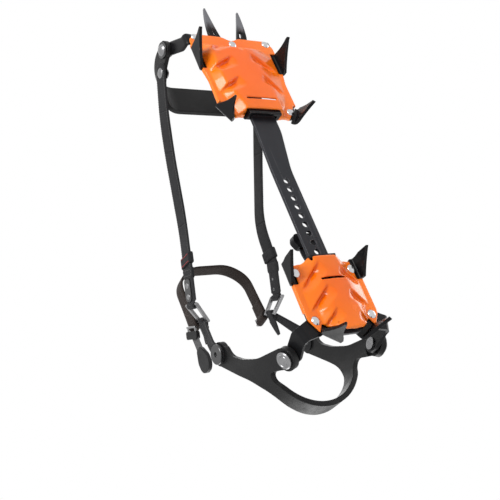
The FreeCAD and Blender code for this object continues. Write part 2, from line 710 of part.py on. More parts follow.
def make_front_plate():
    low = [
        (FRONT_X + 9, 256, 6), (19.5, 262, 6), (30.5, 247, 8), (27.5, 218, 20), (26, 205, 8),
        (17.2, 194, 5), (16.0, FRONT_REAR + 3, 2), (-26, FRONT_REAR + 3, 3), (-29, 191, 5),
        (-35.5, 202, 12), (-37, 216, 20),
        (-42.5, 248, 8), (-32.5, 262, 6), (FRONT_X - 9, 256, 6),
    ]
    high = [
        (FRONT_X + 7, 249, 3), (16, 252, 4), (22.5, 240, 8), (21, 219, 15), (20, 206, 6), (14.6, 195, 4),
        (14.2, FRONT_REAR + 4, 1.5), (-22.5, FRONT_REAR + 4, 2), (-22.6, 191, 4), (-21.5, 205, 12),
        (-20, 218, 15), (-16.5, 246, 6), (-14.5, 252, 3), (FRONT_X - 3, 249, 3),
    ]
    gates = [
        box((HOOK_X - 16, FRONT_REAR - 3, -HOOK_DEPTH + 0.2), (HOOK_X + 16, HOOK_Y + 1, 2)),
        box((-20.5, 194.4, FRONT_CREST - 1), (8.5, 195.9, FRONT_CREST + 3)),
    ]
    heading = -32
    gate = rim_gate((SECOND_POINT[0] + 1.0, SECOND_POINT[1]), 0, 23.0)
    third = rim_gate((THIRD_POINT[0] + 0.8, THIRD_POINT[1]), heading, 18.0)
    y = TOE_PIVOT[0] - 14
    ear = box((31, y - 8, FRAME_UNDER - 0.2), (48, y + 7, 2))
    nose = box((4.2, FRONT_FRONT - 8, FRAME_UNDER - 0.8), (18, FRONT_FRONT + 4, 2))
    for opening in (gate, third, ear, nose):
        opening.translate(V(FRONT_X, 0, 0))
        gates += both_sides(opening, FRONT_X)
    return antiball_plate(
        front_outline(), low, high, FRONT_CREST, front_rivet_spots(), gates, (-3, 222), front_scoops())


# ---- toe basket ----
def make_toe_basket():
    """Moulded band over the toes, hung on the two front brackets."""
    inner = [(-TOE_X, 0, 0), (TOE_X, 0, 0), (TOE_X, TOE_TOP, 18), (-TOE_X, TOE_TOP, 18)]
    reach = TOE_X + TOE_WALL
    top = TOE_TOP + TOE_WALL
    outer = [(-reach, 5, 0), (reach, 5, 0), (reach, top, 21.5), (-reach, top, 21.5)]
    shell = prism(outer, 0, 80).cut(prism(inner, -5, 90))
    shell.rotate(V(0, 0, 0), X_AXIS, 90)
    shell.translate(V(FRONT_X, 300, 0))
    y, z = TOE_PIVOT
    side = [
        (y + 7.5, z - 2, 4), (y + 6, z + 14, 14), (y - 6, z + 30, 20), (y - 11, z + 50, 0),
        (y - 37, z + 50, 0), (y - 34, z + 33, 10), (y - 24, z + 20, 8), (y - 12, z + 8, 10),
        (y - 7.5, z - 2, 4),
    ]
    band = side_prism(side, -80, 80).fuse(rod(8.0, V(-80, y, z), X_AXIS, 160))
    basket = shell.common(band)
    basket = basket.cut(rod(PIVOT_SHANK + PIVOT_FIT, V(-80, y, z), X_AXIS, 160))
    basket = basket.cut(rod(RIVET_SHANK + 0.05, V(-80, *TOE_STRAP), X_AXIS, 160))
    return basket.removeSplitter()


def pivot_rivet(x, y, z, inner, outer, head):
    """Shouldered rivet along X: flat inner head at inner, domed outer head at outer, on the +X side."""
    shank = rod(PIVOT_SHANK, V(inner, y, z), X_AXIS, outer - inner)
    flat = rod(4.6, V(inner - 1.2, y, z), X_AXIS, 1.2)
    dome = domed_head(head, 2.6, V(outer, y, z), X_AXIS)
    return fuse(shank, flat, dome)


def toe_pivot_pieces():
    y, z = TOE_PIVOT
    face = FRONT_X + TOE_X
    washer_face = face + TOE_WALL + SIDE_GAP
    rivet = pivot_rivet(0, y, z, face - SIDE_GAP - SHEET, washer_face + 1.0, 5.2)
    hole = rod(PIVOT_SHANK + 0.05, V(washer_face - 1, y, z), X_AXIS, 3)
    washer = rod(7.0, V(washer_face, y, z), X_AXIS, 1.0).cut(hole)
    return both_sides(rivet, FRONT_X), both_sides(washer, FRONT_X)


# ---- heel cradle ----
def cradle_shell():
    """U-shaped wall round the boot's heel, before its sides are cut to shape."""
    solids = []
    for offset in (0.0, CRADLE_WALL):
        half = CRADLE_X + offset
        front = 50.0
        back = V(0, CRADLE_MID - CRADLE_DEPTH - offset, 0)
        ellipse = Part.Ellipse(back, V(half, CRADLE_MID, 0), V(0, CRADLE_MID, 0))
        arc = ellipse.toShape(-math.pi / 2, math.pi / 2)
        wire = Part.Wire([
            Part.LineSegment(V(-half, front, 0), V(-half, CRADLE_MID, 0)).toShape(), arc,
            Part.LineSegment(V(half, CRADLE_MID, 0), V(half, front, 0)).toShape(),
            Part.LineSegment(V(half, front, 0), V(-half, front, 0)).toShape(),
        ])
        solids.append(Part.Face(wire).extrude(V(0, 0, 120)))
    return solids[1].cut(solids[0])


def make_heel_cradle():
    """Moulded Y on each side: lug on the post, arm up to the strap screw, and a band round the heel."""
    py, pz = CRADLE_PIVOT
    sy, sz = CRADLE_SCREW
    side = [
        (py - 7.9, pz + 2, 0), (py - 3, pz + 16, 16), (py + 2.5, pz + 31, 5), (-24, 47, 14),
        (-60, 46.5, 0), (-60, 68, 0), (-38, 61, 16), (-25, 58.5, 20), (-8.5, 69, 50),
        (sy - 8, sz + 4.6, 0), (sy + 9, sz - 2, 0), (sy + 1, sz - 10.5, 6), (sy - 7.5, sz - 12.5, 14),
        (9.5, 70, 50), (0.5, 51, 50), (py + 7.9, pz + 2, 0),
    ]
    form = side_prism(side, -60, 60)
    form = form.fuse(rod(9.4, V(-60, sy, sz), X_AXIS, 120))
    cradle = cradle_shell().common(form)
    out = post_axis()[0]
    inner = WASHER + SIDE_GAP + 0.15
    room = rod(LUG_RADIUS + 0.7, pivot_at(inner - 14), out, 14)
    lug = rod(LUG_RADIUS, pivot_at(inner), out, LUG_WALL)
    cradle = cradle.cut(both_sides(room)).fuse(both_sides(lug))
    cradle = cradle.cut(pivot_holes(PIVOT_SHANK + LUG_FIT))
    cradle = cradle.cut(rod(PIVOT_SHANK + 0.05, V(-60, sy, sz), X_AXIS, 120))
    return cradle.removeSplitter()


def cradle_pivot_pieces():
    """Rivet with a broad grooved head, and the washer that keeps the lug off the post."""
    out = post_axis()[0]
    seat = WASHER + SIDE_GAP + 0.15 + LUG_WALL + SIDE_GAP + 0.1
    back = -seat - SHEET
    profile = [
        (0, back - 1.2), (4.6, back - 1.2), (4.6, back), (PIVOT_SHANK, back), (PIVOT_SHANK, 0), (6.3, 0),
        (6.3, 1.3), (5.6, 2.0), (4.7, 2.0), (4.4, 1.6), (3.6, 1.6), (3.3, 2.0), (0, 2.0),
    ]
    rivet = turned(profile, pivot_at(seat), out)
    hole = PIVOT_SHANK + 0.05
    washer = turned([(hole, 0), (5.5, 0), (5.5, WASHER), (hole, WASHER)], pivot_at(0), out)
    return both_sides(rivet), both_sides(washer)


def hexagon(across_flats, x0, x1, y, z):
    radius = across_flats / math.sqrt(3)
    turns = [math.pi * k / 3 for k in range(6)]
    corners = [(y + radius * math.cos(turn), z + radius * math.sin(turn), 0) for turn in turns]
    return side_prism(corners, x0, x1)


def strap_screw_pieces():
    """Broad flat screw that holds the link to the cradle, and the flanged nut inside."""
    y, z = CRADLE_SCREW
    face = CRADLE_X + CRADLE_WALL + WEB_THICK
    head = rod(7.8, V(face, y, z), X_AXIS, 1.8)
    head = head.makeChamfer(0.5, [edge for edge in head.Edges if edge.BoundBox.XMin > face + 1])
    head = head.cut(hexagon(4.0, face + 0.5, face + 3, y, z))
    screw = head.fuse(rod(2.4, V(CRADLE_X - 1.0, y, z), X_AXIS, face - CRADLE_X + 1.0)).removeSplitter()
    start = V(CRADLE_X - 1.5, y, z)
    sleeve = rod(PIVOT_SHANK, start, X_AXIS, 1.5 + CRADLE_WALL)
    nut = sleeve.fuse(rod(6.5, start, X_AXIS, 1.5)).cut(rod(2.45, V(CRADLE_X - 3, y, z), X_AXIS, 12))
    return both_sides(screw), both_sides(nut.removeSplitter())


# ---- side rings and straps ----
def strap_placed(shape):
    """Move a piece drawn about the ring's front bar (X out, Y along the strap, Z up) to its place."""
    shape.rotate(V(0, 0, 0), X_AXIS, -STRAP_FALL)
    shape.translate(V(*RING_MID))
    return shape


def ring_placed(shape):
    shape.rotate(V(0, 0, 0), Z_AXIS, -RING_TURN)
    return strap_placed(shape)


def ring_point(x, y, z):
    turn = FreeCAD.Rotation(X_AXIS, -STRAP_FALL).multiply(FreeCAD.Rotation(Z_AXIS, -RING_TURN))
    return V(*RING_MID) + turn.multVec(V(x, y, z))


def ankle_axes():
    """Directions along and across the ankle strap, which lies in one sloping plane."""
    rise = math.radians(ANKLE_RISE)
    return V(0, math.cos(rise), math.sin(rise)), V(0, -math.sin(rise), math.cos(rise))


def ankle_end():
    """Middle of the arm that the ankle strap is looped round."""
    return ring_point(0, -RING_LONG, RING_NARROW / 2) + ankle_axes()[1] * (RING_ARM / 2 + 2.4)


def ankle_placed(shape):
    """Move a piece drawn about the arm's middle (X out, Y along the ankle strap, Z across) to its place."""
    end = ankle_end()
    shape.rotate(V(0, 0, 0), X_AXIS, ANKLE_RISE)
    shape.translate(V(0, end.y, end.z))
    return shape


def make_ring():
    """Steel ring: two flat rails, two round bars, and an arm that ends in a short hook."""
    front = RING_WIDE / 2
    rear = RING_NARROW / 2
    bars = [rod(BAR_ROUND, V(0, y, -half), Z_AXIS, 2 * half) for y, half in ((0, front), (-RING_LONG, rear))]
    swing = math.degrees(math.asin((front - rear) / RING_LONG))
    profile = [(-1.2, -RING_LONG - 2, 1.1), (1.2, -RING_LONG - 2, 1.1), (1.2, 2, 1.1), (-1.2, 2, 1.1)]
    rail = prism(profile, -1.5, 1.5)
    rail.rotate(V(0, 0, 0), X_AXIS, swing)
    rail.translate(V(0, 0, front))
    under = rail.mirror(V(0, 0, 0), Z_AXIS)
    ring = ring_placed(fuse(*bars, rail, under))
    along, across = ankle_axes()
    foot = ring_point(0, -RING_LONG, rear)
    arm = rod(BAR_ROUND, foot, across, RING_ARM + 5.4)
    hook = rod(BAR_ROUND, foot + across * (RING_ARM + 4.1) - along * 1.0, along, 6.0)
    return fuse(ring, arm, hook)


def ring_clear(spacing):
    """Width of a strap that fits between the rails."""
    return spacing - 3.0 - 1.0


def strap_corners(mid, across, out, wide, thick):
    """Corners of a flat strap's cross-section."""
    side = across * (wide / 2)
    face = out * (thick / 2)
    return [mid - side - face, mid + side - face, mid + side + face, mid - side + face]


def strap_run(first, second):
    """Stretch of strap between two cross-sections, closed with flat facets."""
    loops = [first, second]
    for k in range(4):
        after = (k + 1) % 4
        loops.append([first[k], first[after], second[after]])
        loops.append([first[k], second[after], second[k]])
    faces = [Part.Face(Part.makePolygon(loop + loop[:1])) for loop in loops]
    run = Part.Solid(Part.Shell(faces))
    if run.Volume < 0:
        run.reverse()
    return run


def make_strap_link():
    """Flexible link from the cradle's screw to the ring's rear bar, with its trimmed end folded back."""
    sy, sz = CRADLE_SCREW
    wide = ring_clear(RING_NARROW)
    bar = ring_point(0, -RING_LONG, 0)
    out = ring_point(1, 0, 0) - ring_point(0, 0, 0)
    up = ring_point(0, 0, 1) - ring_point(0, 0, 0)
    inner = BAR_ROUND + WIRE_FIT
    outer = inner + LOOP_WALL
    offset = (inner + outer) / 2
    tube = rod(outer, bar - up * (wide / 2), up, wide)
    face = CRADLE_X + CRADLE_WALL
    screw = V(face + WEB_THICK / 2, sy, sz)
    run = V(0, bar.y - sy, bar.z - sz)
    run.normalize()
    side = V(0, -run.z, run.y)
    neck = screw + run * 10.2
    pad = rod(LINK_WIDTH / 2, V(face, sy, sz), X_AXIS, WEB_THICK)
    thin = LOOP_WALL - 0.2
    narrow = wide - 0.4
    neck_end = strap_corners(neck, side, X_AXIS, LINK_NECK, WEB_THICK)
    root = strap_run(strap_corners(screw, side, X_AXIS, LINK_WIDTH - 0.4, WEB_THICK), neck_end)
    leg = strap_run(neck_end, strap_corners(bar + out * offset, up, out, narrow, thin))
    tip = bar - out * offset + V(4.2, -21.0, 3.2)
    waist = bar - out * offset + V(2.9, -13.5, 2.4)
    waist_end = strap_corners(waist, up, X_AXIS, 11.0, LOOP_WALL)
    fold = strap_run(strap_corners(bar - out * offset, up, out, narrow, thin), waist_end)
    point = strap_run(waist_end, strap_corners(tip, up, X_AXIS, 3.0, LOOP_WALL))
    link = fuse(tube, pad, root, leg, fold, point)
    link = link.cut(rod(inner, bar - up * wide, up, 2 * wide))
    return link.cut(rod(2.45, V(0, sy, sz), X_AXIS, 60)).removeSplitter()


def plate_rivet_spots():
    return (7.5, 16.5)


def make_strap_tab():
    """Stiffened end of the side strap: looped round the ring's front bar, under the riveted plate."""
    half = ring_clear(RING_WIDE) / 2
    broad = WEB * 0.35
    bore = BAR_ROUND + WIRE_FIT
    upper = [(0, half), (3.6, half), (6.0, broad), (TAB_REACH, broad)]
    lower = [(y, -z) for y, z in reversed(upper)]
    flat = side_prism([(y, z, 0) for y, z in upper + lower], -LOOP_WALL / 2, LOOP_WALL / 2)
    tab = rod(bore + LOOP_WALL, V(0, 0, -half), Z_AXIS, 2 * half).fuse(flat)
    tab = tab.cut(rod(bore, V(0, 0, -half - 1), Z_AXIS, 2 * half + 2))
    for along in plate_rivet_spots():
        tab = tab.cut(rod(1.45, V(-5, along, PLATE_RAISE), X_AXIS, 10))
    return strap_placed(tab.removeSplitter())


def make_strap_plate():
    low = PLATE_RAISE - 4.6
    high = PLATE_RAISE + 4.6
    corners = [(3.4, low, 3.6), (22.0, low, 2.4), (22.0, high, 2.4), (3.4, high, 3.6)]
    plate = side_prism(corners, LOOP_WALL / 2, LOOP_WALL / 2 + 1.1)
    for along in plate_rivet_spots():
        plate = plate.cut(rod(1.45, V(-5, along, PLATE_RAISE), X_AXIS, 10))
    return strap_placed(plate)


def make_strap_plate_rivets():
    solids = []
    face = LOOP_WALL / 2 + 1.1
    for along in plate_rivet_spots():
        head = domed_head(2.5, 1.1, V(face, along, PLATE_RAISE), X_AXIS)
        shank = rod(1.4, V(-LOOP_WALL / 2, along, PLATE_RAISE), X_AXIS, face + LOOP_WALL / 2)
        solids.append(strap_placed(head.fuse(shank).removeSplitter()))
    return solids


def strap_stations():
    """Stations of the side strap: along the foot, up, half the spread, and the middle line."""
    spread = TOE_X + TOE_WALL + WEB_THICK / 2
    fall = math.radians(STRAP_FALL)
    rear_y = RING_MID[1] + TAB_REACH * math.cos(fall) + 2.9
    rear_z = RING_MID[2] - TAB_REACH * math.sin(fall) - 1.0
    return [
        (TOE_STRAP[0] + 5, TOE_STRAP[1] - 2.8, spread, FRONT_X), (STRAP_JOINTS[0], 56.5, spread, FRONT_X),
        (STRAP_JOINTS[1], 74.0, spread - 3, FRONT_X), (STRAP_JOINTS[2], 96.5, 38.5, -2.4),
        (rear_y, rear_z, RING_MID[0], 0.0),
    ]


def side_strap(side, start, stop):
    """Stretch of the side strap between two stations."""
    ends = []
    rise = math.hypot(start[0] - stop[0], start[1] - stop[1]) / abs(start[0] - stop[0])
    grow = 0.15 / (start[0] - stop[0])
    for share in (grow, 1 - grow):
        y, z, spread, middle = [p + (q - p) * share for p, q in zip(start, stop)]
        mid = V(middle + side * spread, y, z)
        ends.append(strap_corners(mid, Z_AXIS, X_AXIS, (WEB - 5) * rise, WEB_THICK))
    return strap_run(*ends)


def make_side_straps():
    stations = strap_stations()
    names = ("strap_fore", "strap_mid", "strap_rear", "strap_end")
    hole = rod(RIVET_SHANK + 0.05, V(-80, *TOE_STRAP), X_AXIS, 160)
    result = {}
    for name, start, stop in zip(names, stations, stations[1:]):
        result[name] = [side_strap(side, start, stop) for side in (1, -1)]
    result["strap_fore"] = [piece.cut(hole) for piece in result["strap_fore"]]
    return result


def toe_strap_rivets():
    y, z = TOE_STRAP
    face = FRONT_X + TOE_X
    outer = face + TOE_WALL + WEB_THICK
    head = domed_head(4.5, 1.6, V(outer, y, z), X_AXIS)
    start = V(face - 1, y, z)
    rivet = fuse(head, rod(RIVET_SHANK, start, X_AXIS, outer - face + 1), rod(4.0, start, X_AXIS, 1))
    return both_sides(rivet, FRONT_X)


def make_instep_strap():
    """Webbing from the arm of one ring, round the front of the ankle, to the arm of the other."""
    x = ankle_end().x + BAR_ROUND + WIRE_FIT
    right_side = [(19, 56, 18), (33.5, 43, 20), (34.0, 17, 20), (x, 0, 0), (x, -8, 0)]
    inner = outline(mirrored_outline(right_side))
    outer = outline(mirrored_outline(right_side)).makeOffset2D(WEB_THICK)
    half = ANKLE_WEB / 2
    solids = []
    for wire in (inner, outer):
        wire.translate(V(0, 0, -half))
        solids.append(Part.Face(wire).extrude(V(0, 0, ANKLE_WEB)))
    band = solids[1].cut(solids[0]).cut(box((-60, -30, -half - 1), (60, 0, half + 1)))
    bore = BAR_ROUND + WIRE_FIT
    middle = V(ankle_end().x, 0, -half)
    loop = rod(bore + WEB_THICK, middle, Z_AXIS, ANKLE_WEB)
    hole = rod(bore, middle - V(0, 0, 1), Z_AXIS, ANKLE_WEB + 2)
    band = band.fuse(both_sides(loop)).cut(both_sides(hole))
    return ankle_placed(band.removeSplitter())


def keeper_face():
    """Outer face of the ankle strap's loop, where the keeper sits."""
    return ankle_end().x + BAR_ROUND + WIRE_FIT + WEB_THICK


def keeper_placed(shape):
    shape.rotate(V(0, 0, 0), X_AXIS, -KEEPER_TURN)
    shape.translate(V(0, -KEEPER_BACK, -KEEPER_DROP))
    return ankle_placed(shape)


def tail_flat(front=-2.6, spare=0.0):
    """Tail of the ankle strap behind the keeper; a longer one cuts the keeper's slot."""
    x = keeper_face() + 0.9
    flat = box((x, -21.0 - spare, -4.7), (x + 1.4, front + spare, 4.7))
    flat.translate(V(0, -KEEPER_BACK, -KEEPER_DROP))
    return ankle_placed(flat)


def make_strap_keeper():
    """Moulded block on the loop, with the slot that the strap's tail is drawn through."""
    x = keeper_face()
    block = side_prism([(-6.6, -8.8, 2), (0.0, -8.8, 2), (0.0, 8.8, 2), (-6.6, 8.8, 2)], x, x + 3.4)
    return keeper_placed(block).cut(tail_flat(spare=9.0))


def make_strap_slider():
    """Bright wire loop at the keeper's front, round which the strap turns back."""
    x = keeper_face() + 2.2
    cross = rod(1.0, V(x, 3.4, -7.4), Z_AXIS, 14.8)
    arms = [rod(0.9, V(x, 0.0, z), Y_AXIS, 3.4) for z in (-6.0, 6.0)]
    return keeper_placed(fuse(cross, *arms))


def make_tail_tab():
    """Drop-shaped pull at the end of the tail."""
    x = keeper_face()
    shape = [(-17, -3.4, 3), (-17, 3.4, 3), (-27, 8.2, 9), (-38.5, 7.4, 7), (-38.5, -7.4, 7), (-27, -8.2, 9)]
    drop = side_prism(shape, x, x + 3.2)
    drop.translate(V(0, -KEEPER_BACK, -KEEPER_DROP))
    return ankle_placed(drop).cut(tail_flat())


def main():
    os.makedirs("parts", exist_ok=True)
    save("link_bar", make_link_bar())
    save("heel_frame", make_heel_frame())
    save("heel_antiball_plate", make_heel_plate())
    save("heel_plate_rivets", *[plate_rivet(x, y) for x, y in heel_rivet_spots()])
    save("lock_spring", make_lock_spring())
    save("lock_spring_rivets", *make_spring_rivets())
    save("lock_pin", make_lock_pin())
    save("lock_knob", make_lock_knob())
    save("front_frame", make_front_frame())
    save("front_antiball_plate", make_front_plate())
    save("front_plate_rivets", *[plate_rivet(x, y) for x, y in front_rivet_spots()])
    save("toe_basket", make_toe_basket())
    rivets, washers = toe_pivot_pieces()
    save("toe_pivot_rivets", *rivets)
    save("toe_pivot_washers", *washers)
    save("toe_strap_rivets", *toe_strap_rivets())
    save("heel_cradle", make_heel_cradle())
    rivets, washers = cradle_pivot_pieces()
    save("cradle_pivot_rivets", *rivets)
    save("cradle_pivot_washers", *washers)
    screws, nuts = strap_screw_pieces()
    save("strap_screws", *screws)
    save("strap_screw_nuts", *nuts)
    save("buckle_frames", *both_sides(make_ring()))
    save("strap_links", *both_sides(make_strap_link()))
    save("strap_tabs", *both_sides(make_strap_tab()))
    save("strap_plates", *both_sides(make_strap_plate()))
    rivets = make_strap_plate_rivets()
    save("strap_plate_rivets", *rivets, *[mirrored(rivet) for rivet in rivets])
    for name, pieces in make_side_straps().items():
        save(name, *pieces)
    save("instep_strap", make_instep_strap())
    save("strap_keeper", make_strap_keeper())
    save("strap_slider", make_strap_slider())
    save("strap_tail", tail_flat())
    save("tail_tab", make_tail_tab())


main()
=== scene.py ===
import math

import bmesh
import bpy
import numpy as np
from mathutils import Matrix, Vector


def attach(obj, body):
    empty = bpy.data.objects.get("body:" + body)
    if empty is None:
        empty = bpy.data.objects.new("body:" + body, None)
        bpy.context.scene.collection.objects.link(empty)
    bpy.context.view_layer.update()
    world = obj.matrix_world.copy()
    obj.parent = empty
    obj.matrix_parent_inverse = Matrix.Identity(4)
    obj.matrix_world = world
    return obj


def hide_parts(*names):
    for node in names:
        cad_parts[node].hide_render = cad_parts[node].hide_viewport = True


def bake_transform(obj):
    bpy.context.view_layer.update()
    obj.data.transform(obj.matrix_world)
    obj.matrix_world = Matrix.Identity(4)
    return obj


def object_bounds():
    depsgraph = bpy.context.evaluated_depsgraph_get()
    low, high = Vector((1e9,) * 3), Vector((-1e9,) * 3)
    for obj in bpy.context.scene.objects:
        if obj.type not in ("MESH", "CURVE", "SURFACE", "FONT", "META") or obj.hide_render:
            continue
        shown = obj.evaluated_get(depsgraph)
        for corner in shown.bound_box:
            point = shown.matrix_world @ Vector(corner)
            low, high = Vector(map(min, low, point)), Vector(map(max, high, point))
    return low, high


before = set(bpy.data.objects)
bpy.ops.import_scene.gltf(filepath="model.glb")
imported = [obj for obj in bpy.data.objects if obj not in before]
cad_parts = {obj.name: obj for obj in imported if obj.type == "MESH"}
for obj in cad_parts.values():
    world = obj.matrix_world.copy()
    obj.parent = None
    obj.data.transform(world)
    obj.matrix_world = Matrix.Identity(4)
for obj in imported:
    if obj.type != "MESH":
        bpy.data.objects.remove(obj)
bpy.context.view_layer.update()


# ---------------------------------------------------------------- materials

class Maker:
    """Builds one procedural material, node by node."""

    def __init__(self, name):
        self.mat = bpy.data.materials.new(name)
        self.mat.use_nodes = True
        self.tree = self.mat.node_tree
        self.tree.nodes.clear()
        self.out = self.tree.nodes.new("ShaderNodeOutputMaterial")
        self.bsdf = self.tree.nodes.new("ShaderNodeBsdfPrincipled")
        self.tree.links.new(self.bsdf.outputs[0], self.out.inputs[0])
        self.coord = self.tree.nodes.new("ShaderNodeTexCoord").outputs["Object"]

    def link(self, a, b):
        self.tree.links.new(a, b)

    def set(self, **values):
        for key, value in values.items():
            self.bsdf.inputs[key.replace("_", " ")].default_value = value

    def noise(self, scale, detail, rough=0.55, stretch=None):
        node = self.tree.nodes.new("ShaderNodeTexNoise")
        node.inputs["Scale"].default_value = scale
        node.inputs["Detail"].default_value = detail
        node.inputs["Roughness"].default_value = rough
        self.link(self.scaled(stretch), node.inputs["Vector"])
        return node.outputs["Fac"]

    def scaled(self, stretch):
        if stretch is None:
            return self.coord
        node = self.tree.nodes.new("ShaderNodeMapping")
        node.inputs["Scale"].default_value = stretch
        self.link(self.coord, node.inputs["Vector"])
        return node.outputs[0]

    def ramp(self, source, *stops):
        node = self.tree.nodes.new("ShaderNodeValToRGB")
        while len(node.color_ramp.elements) < len(stops):
            node.color_ramp.elements.new(0.5)
        for element, (place, colour) in zip(node.color_ramp.elements, stops):
            element.position = place
            element.color = (*colour, 1) if isinstance(colour, tuple) else (colour, colour, colour, 1)
        self.link(source, node.inputs[0])
        return node.outputs[0]

    def mix(self, factor, under, over):
        """The colour under, turned into the plain colour over by the factor."""
        node = self.tree.nodes.new("ShaderNodeMix")
        node.data_type = "RGBA"
        self.link(factor, node.inputs[0])
        self.link(under, node.inputs[6])
        node.inputs[7].default_value = (*over, 1)
        return node.outputs[2]

    def math(self, operation, *values, clamp=False):
        node = self.tree.nodes.new("ShaderNodeMath")
        node.operation = operation
        node.use_clamp = clamp
        for socket, value in zip(node.inputs, values):
            if isinstance(value, (int, float)):
                socket.default_value = value
            else:
                self.link(value, socket)
        return node.outputs[0]

    def soft_edges(self, radius):
        """Normal that rounds the sharp edges."""
        bevel = self.tree.nodes.new("ShaderNodeBevel")
        bevel.samples = 6
        bevel.inputs["Radius"].default_value = radius
        return bevel.outputs[0]

    def strap_axes(self):
        """Distance along a strap and across it, in metres."""
        node = self.tree.nodes.new("ShaderNodeAttribute")
        node.attribute_name = "strap"
        split = self.tree.nodes.new("ShaderNodeSeparateXYZ")
        self.link(node.outputs["Vector"], split.inputs[0])
        return split.outputs[0], split.outputs[1]

    def edge(self, radius):
        """A mask that is white on the sharp edges."""
        bevel = self.tree.nodes.new("ShaderNodeBevel")
        bevel.samples = 4
        bevel.inputs["Radius"].default_value = radius
        geometry = self.tree.nodes.new("ShaderNodeNewGeometry")
        dot = self.tree.nodes.new("ShaderNodeVectorMath")
        dot.operation = "DOT_PRODUCT"
        self.link(bevel.outputs[0], dot.inputs[0])
        self.link(geometry.outputs["Normal"], dot.inputs[1])
        lost = self.math("SUBTRACT", 1.0, dot.outputs["Value"])
        return self.ramp(lost, (0.02, 0.0), (0.2, 1.0))

    def bump(self, height, strength, distance, under=None):
        node = self.tree.nodes.new("ShaderNodeBump")
        node.inputs["Strength"].default_value = strength
        node.inputs["Distance"].default_value = distance
        self.link(height, node.inputs["Height"])
        if under is not None:
            self.link(under, node.inputs["Normal"])
        return node.outputs[0]

    def done(self, colour, rough=None, normal=None, metal=None):
        self.link(colour, self.bsdf.inputs["Base Color"])
        if rough is not None:
            self.link(rough, self.bsdf.inputs["Roughness"])
        if normal is not None:
            self.link(normal, self.bsdf.inputs["Normal"])
        if metal is not None:
            self.link(metal, self.bsdf.inputs["Metallic"])
        return self.mat


WEAR_START = 0.272   # the forward points lose their coat beyond this distance along the foot
FADE = 0.016         # how far the wear takes to become complete


def black_coat(name, bare=None):
    """Satin coat, worn on its edges, and worn to bright steel beyond the distance bare along the foot."""
    m = Maker(name)
    colour = m.ramp(m.noise(35, 5), (0.3, (0.004, 0.004, 0.005)), (0.75, (0.009, 0.009, 0.010)))
    wear = m.math("MULTIPLY", m.edge(0.0006), m.ramp(m.noise(260, 6, 0.7), (0.50, 0.0), (0.70, 1.0)))
    colour = m.mix(wear, colour, (0.22, 0.22, 0.23))
    rough = m.ramp(m.noise(120, 4), (0.3, 0.24), (0.8, 0.40))
    metal = None
    if bare is not None:
        split = m.tree.nodes.new("ShaderNodeSeparateXYZ")
        m.link(m.coord, split.inputs[0])
        reach = m.math("DIVIDE", m.math("SUBTRACT", split.outputs[1], bare), FADE, clamp=True)
        grain = m.noise(160, 6, 0.75, (1.0, 0.18, 1.0))
        worn = m.math("ADD", m.math("MULTIPLY", grain, 0.75), m.math("MULTIPLY", reach, 0.75))
        metal = m.ramp(worn, (0.58, 0.0), (0.95, 1.0))
        colour = m.mix(metal, colour, (0.19, 0.19, 0.205))
    m.set(Specular_IOR_Level=0.14)
    return m.done(colour, rough, m.bump(m.noise(1900, 3), 0.10, 0.0002, m.soft_edges(0.0005)), metal)


def bar_coat():
    """Grey metallic coat, scratched along the bar where it slides."""
    m = Maker("grey_bar_coat")
    cloud = m.noise(30, 5, 0.6, (1, 0.3, 1))
    colour = m.ramp(cloud, (0.3, (0.016, 0.017, 0.021)), (0.75, (0.029, 0.030, 0.036)))
    scratch = m.ramp(m.noise(300, 4, 0.6, (1.0, 0.03, 1.0)), (0.6, 0.0), (0.75, 1.0))
    colour = m.mix(m.math("MULTIPLY", scratch, 0.35), colour, (0.13, 0.13, 0.14))
    colour = m.mix(m.math("MULTIPLY", m.edge(0.0005), 0.6), colour, (0.25, 0.25, 0.27))
    rough = m.ramp(m.noise(90, 4), (0.3, 0.26), (0.8, 0.42))
    m.set(Metallic=0.15, Specular_IOR_Level=0.2)
    return m.done(colour, rough, m.bump(m.noise(1500, 3), 0.08, 0.0002, m.soft_edges(0.0005)))


def polished(name, base, low, high):
    """Bare steel of one brightness; low and high bound its roughness."""
    m = Maker(name)
    dull = base * 0.78
    colour = m.ramp(m.noise(240, 5), (0.3, (dull, dull, dull * 1.02)), (0.8, (base, base, base * 1.01)))
    rough = m.ramp(m.noise(420, 5, 0.7), (0.3, low), (0.8, high))
    m.set(Metallic=1.0)
    return m.done(colour, rough, m.bump(m.noise(900, 4), 0.05, 0.0002, m.soft_edges(0.0003)))


def orange_plastic():
    """Glossy moulding with a few pale scuffs."""
    m = Maker("orange_moulding")
    colour = m.ramp(m.noise(22, 4), (0.25, (0.90, 0.185, 0.002)), (0.8, (0.96, 0.225, 0.003)))
    scuff = m.ramp(m.noise(160, 6, 0.7, (1, 0.35, 1)), (0.66, 0.0), (0.8, 1.0))
    colour = m.mix(m.math("MULTIPLY", scuff, 0.10), colour, (0.98, 0.45, 0.12))
    rough = m.ramp(m.noise(70, 5), (0.3, 0.16), (0.8, 0.30))
    m.set(Specular_IOR_Level=0.36, Coat_Weight=0.15, Coat_Roughness=0.06)
    return m.done(colour, rough, m.bump(m.noise(700, 3), 0.04, 0.0003, m.soft_edges(0.0008)))


def black_moulding(name, dark, light):
    """Moulded rubber with a fine pitted grain."""
    m = Maker(name)
    colour = m.ramp(m.noise(40, 5), (0.3, (dark, dark, dark * 1.05)), (0.8, (light, light, light * 1.05)))
    rough = m.ramp(m.noise(160, 4), (0.3, 0.36), (0.8, 0.54))
    voronoi = m.tree.nodes.new("ShaderNodeTexVoronoi")
    voronoi.inputs["Scale"].default_value = 1500
    m.link(m.coord, voronoi.inputs["Vector"])
    m.set(Specular_IOR_Level=0.2)
    return m.done(colour, rough, m.bump(voronoi.outputs["Distance"], 0.18, 0.0003, m.soft_edges(0.0009)))


WEFT_PITCH = 0.0011
WARP_RIB = 0.0013


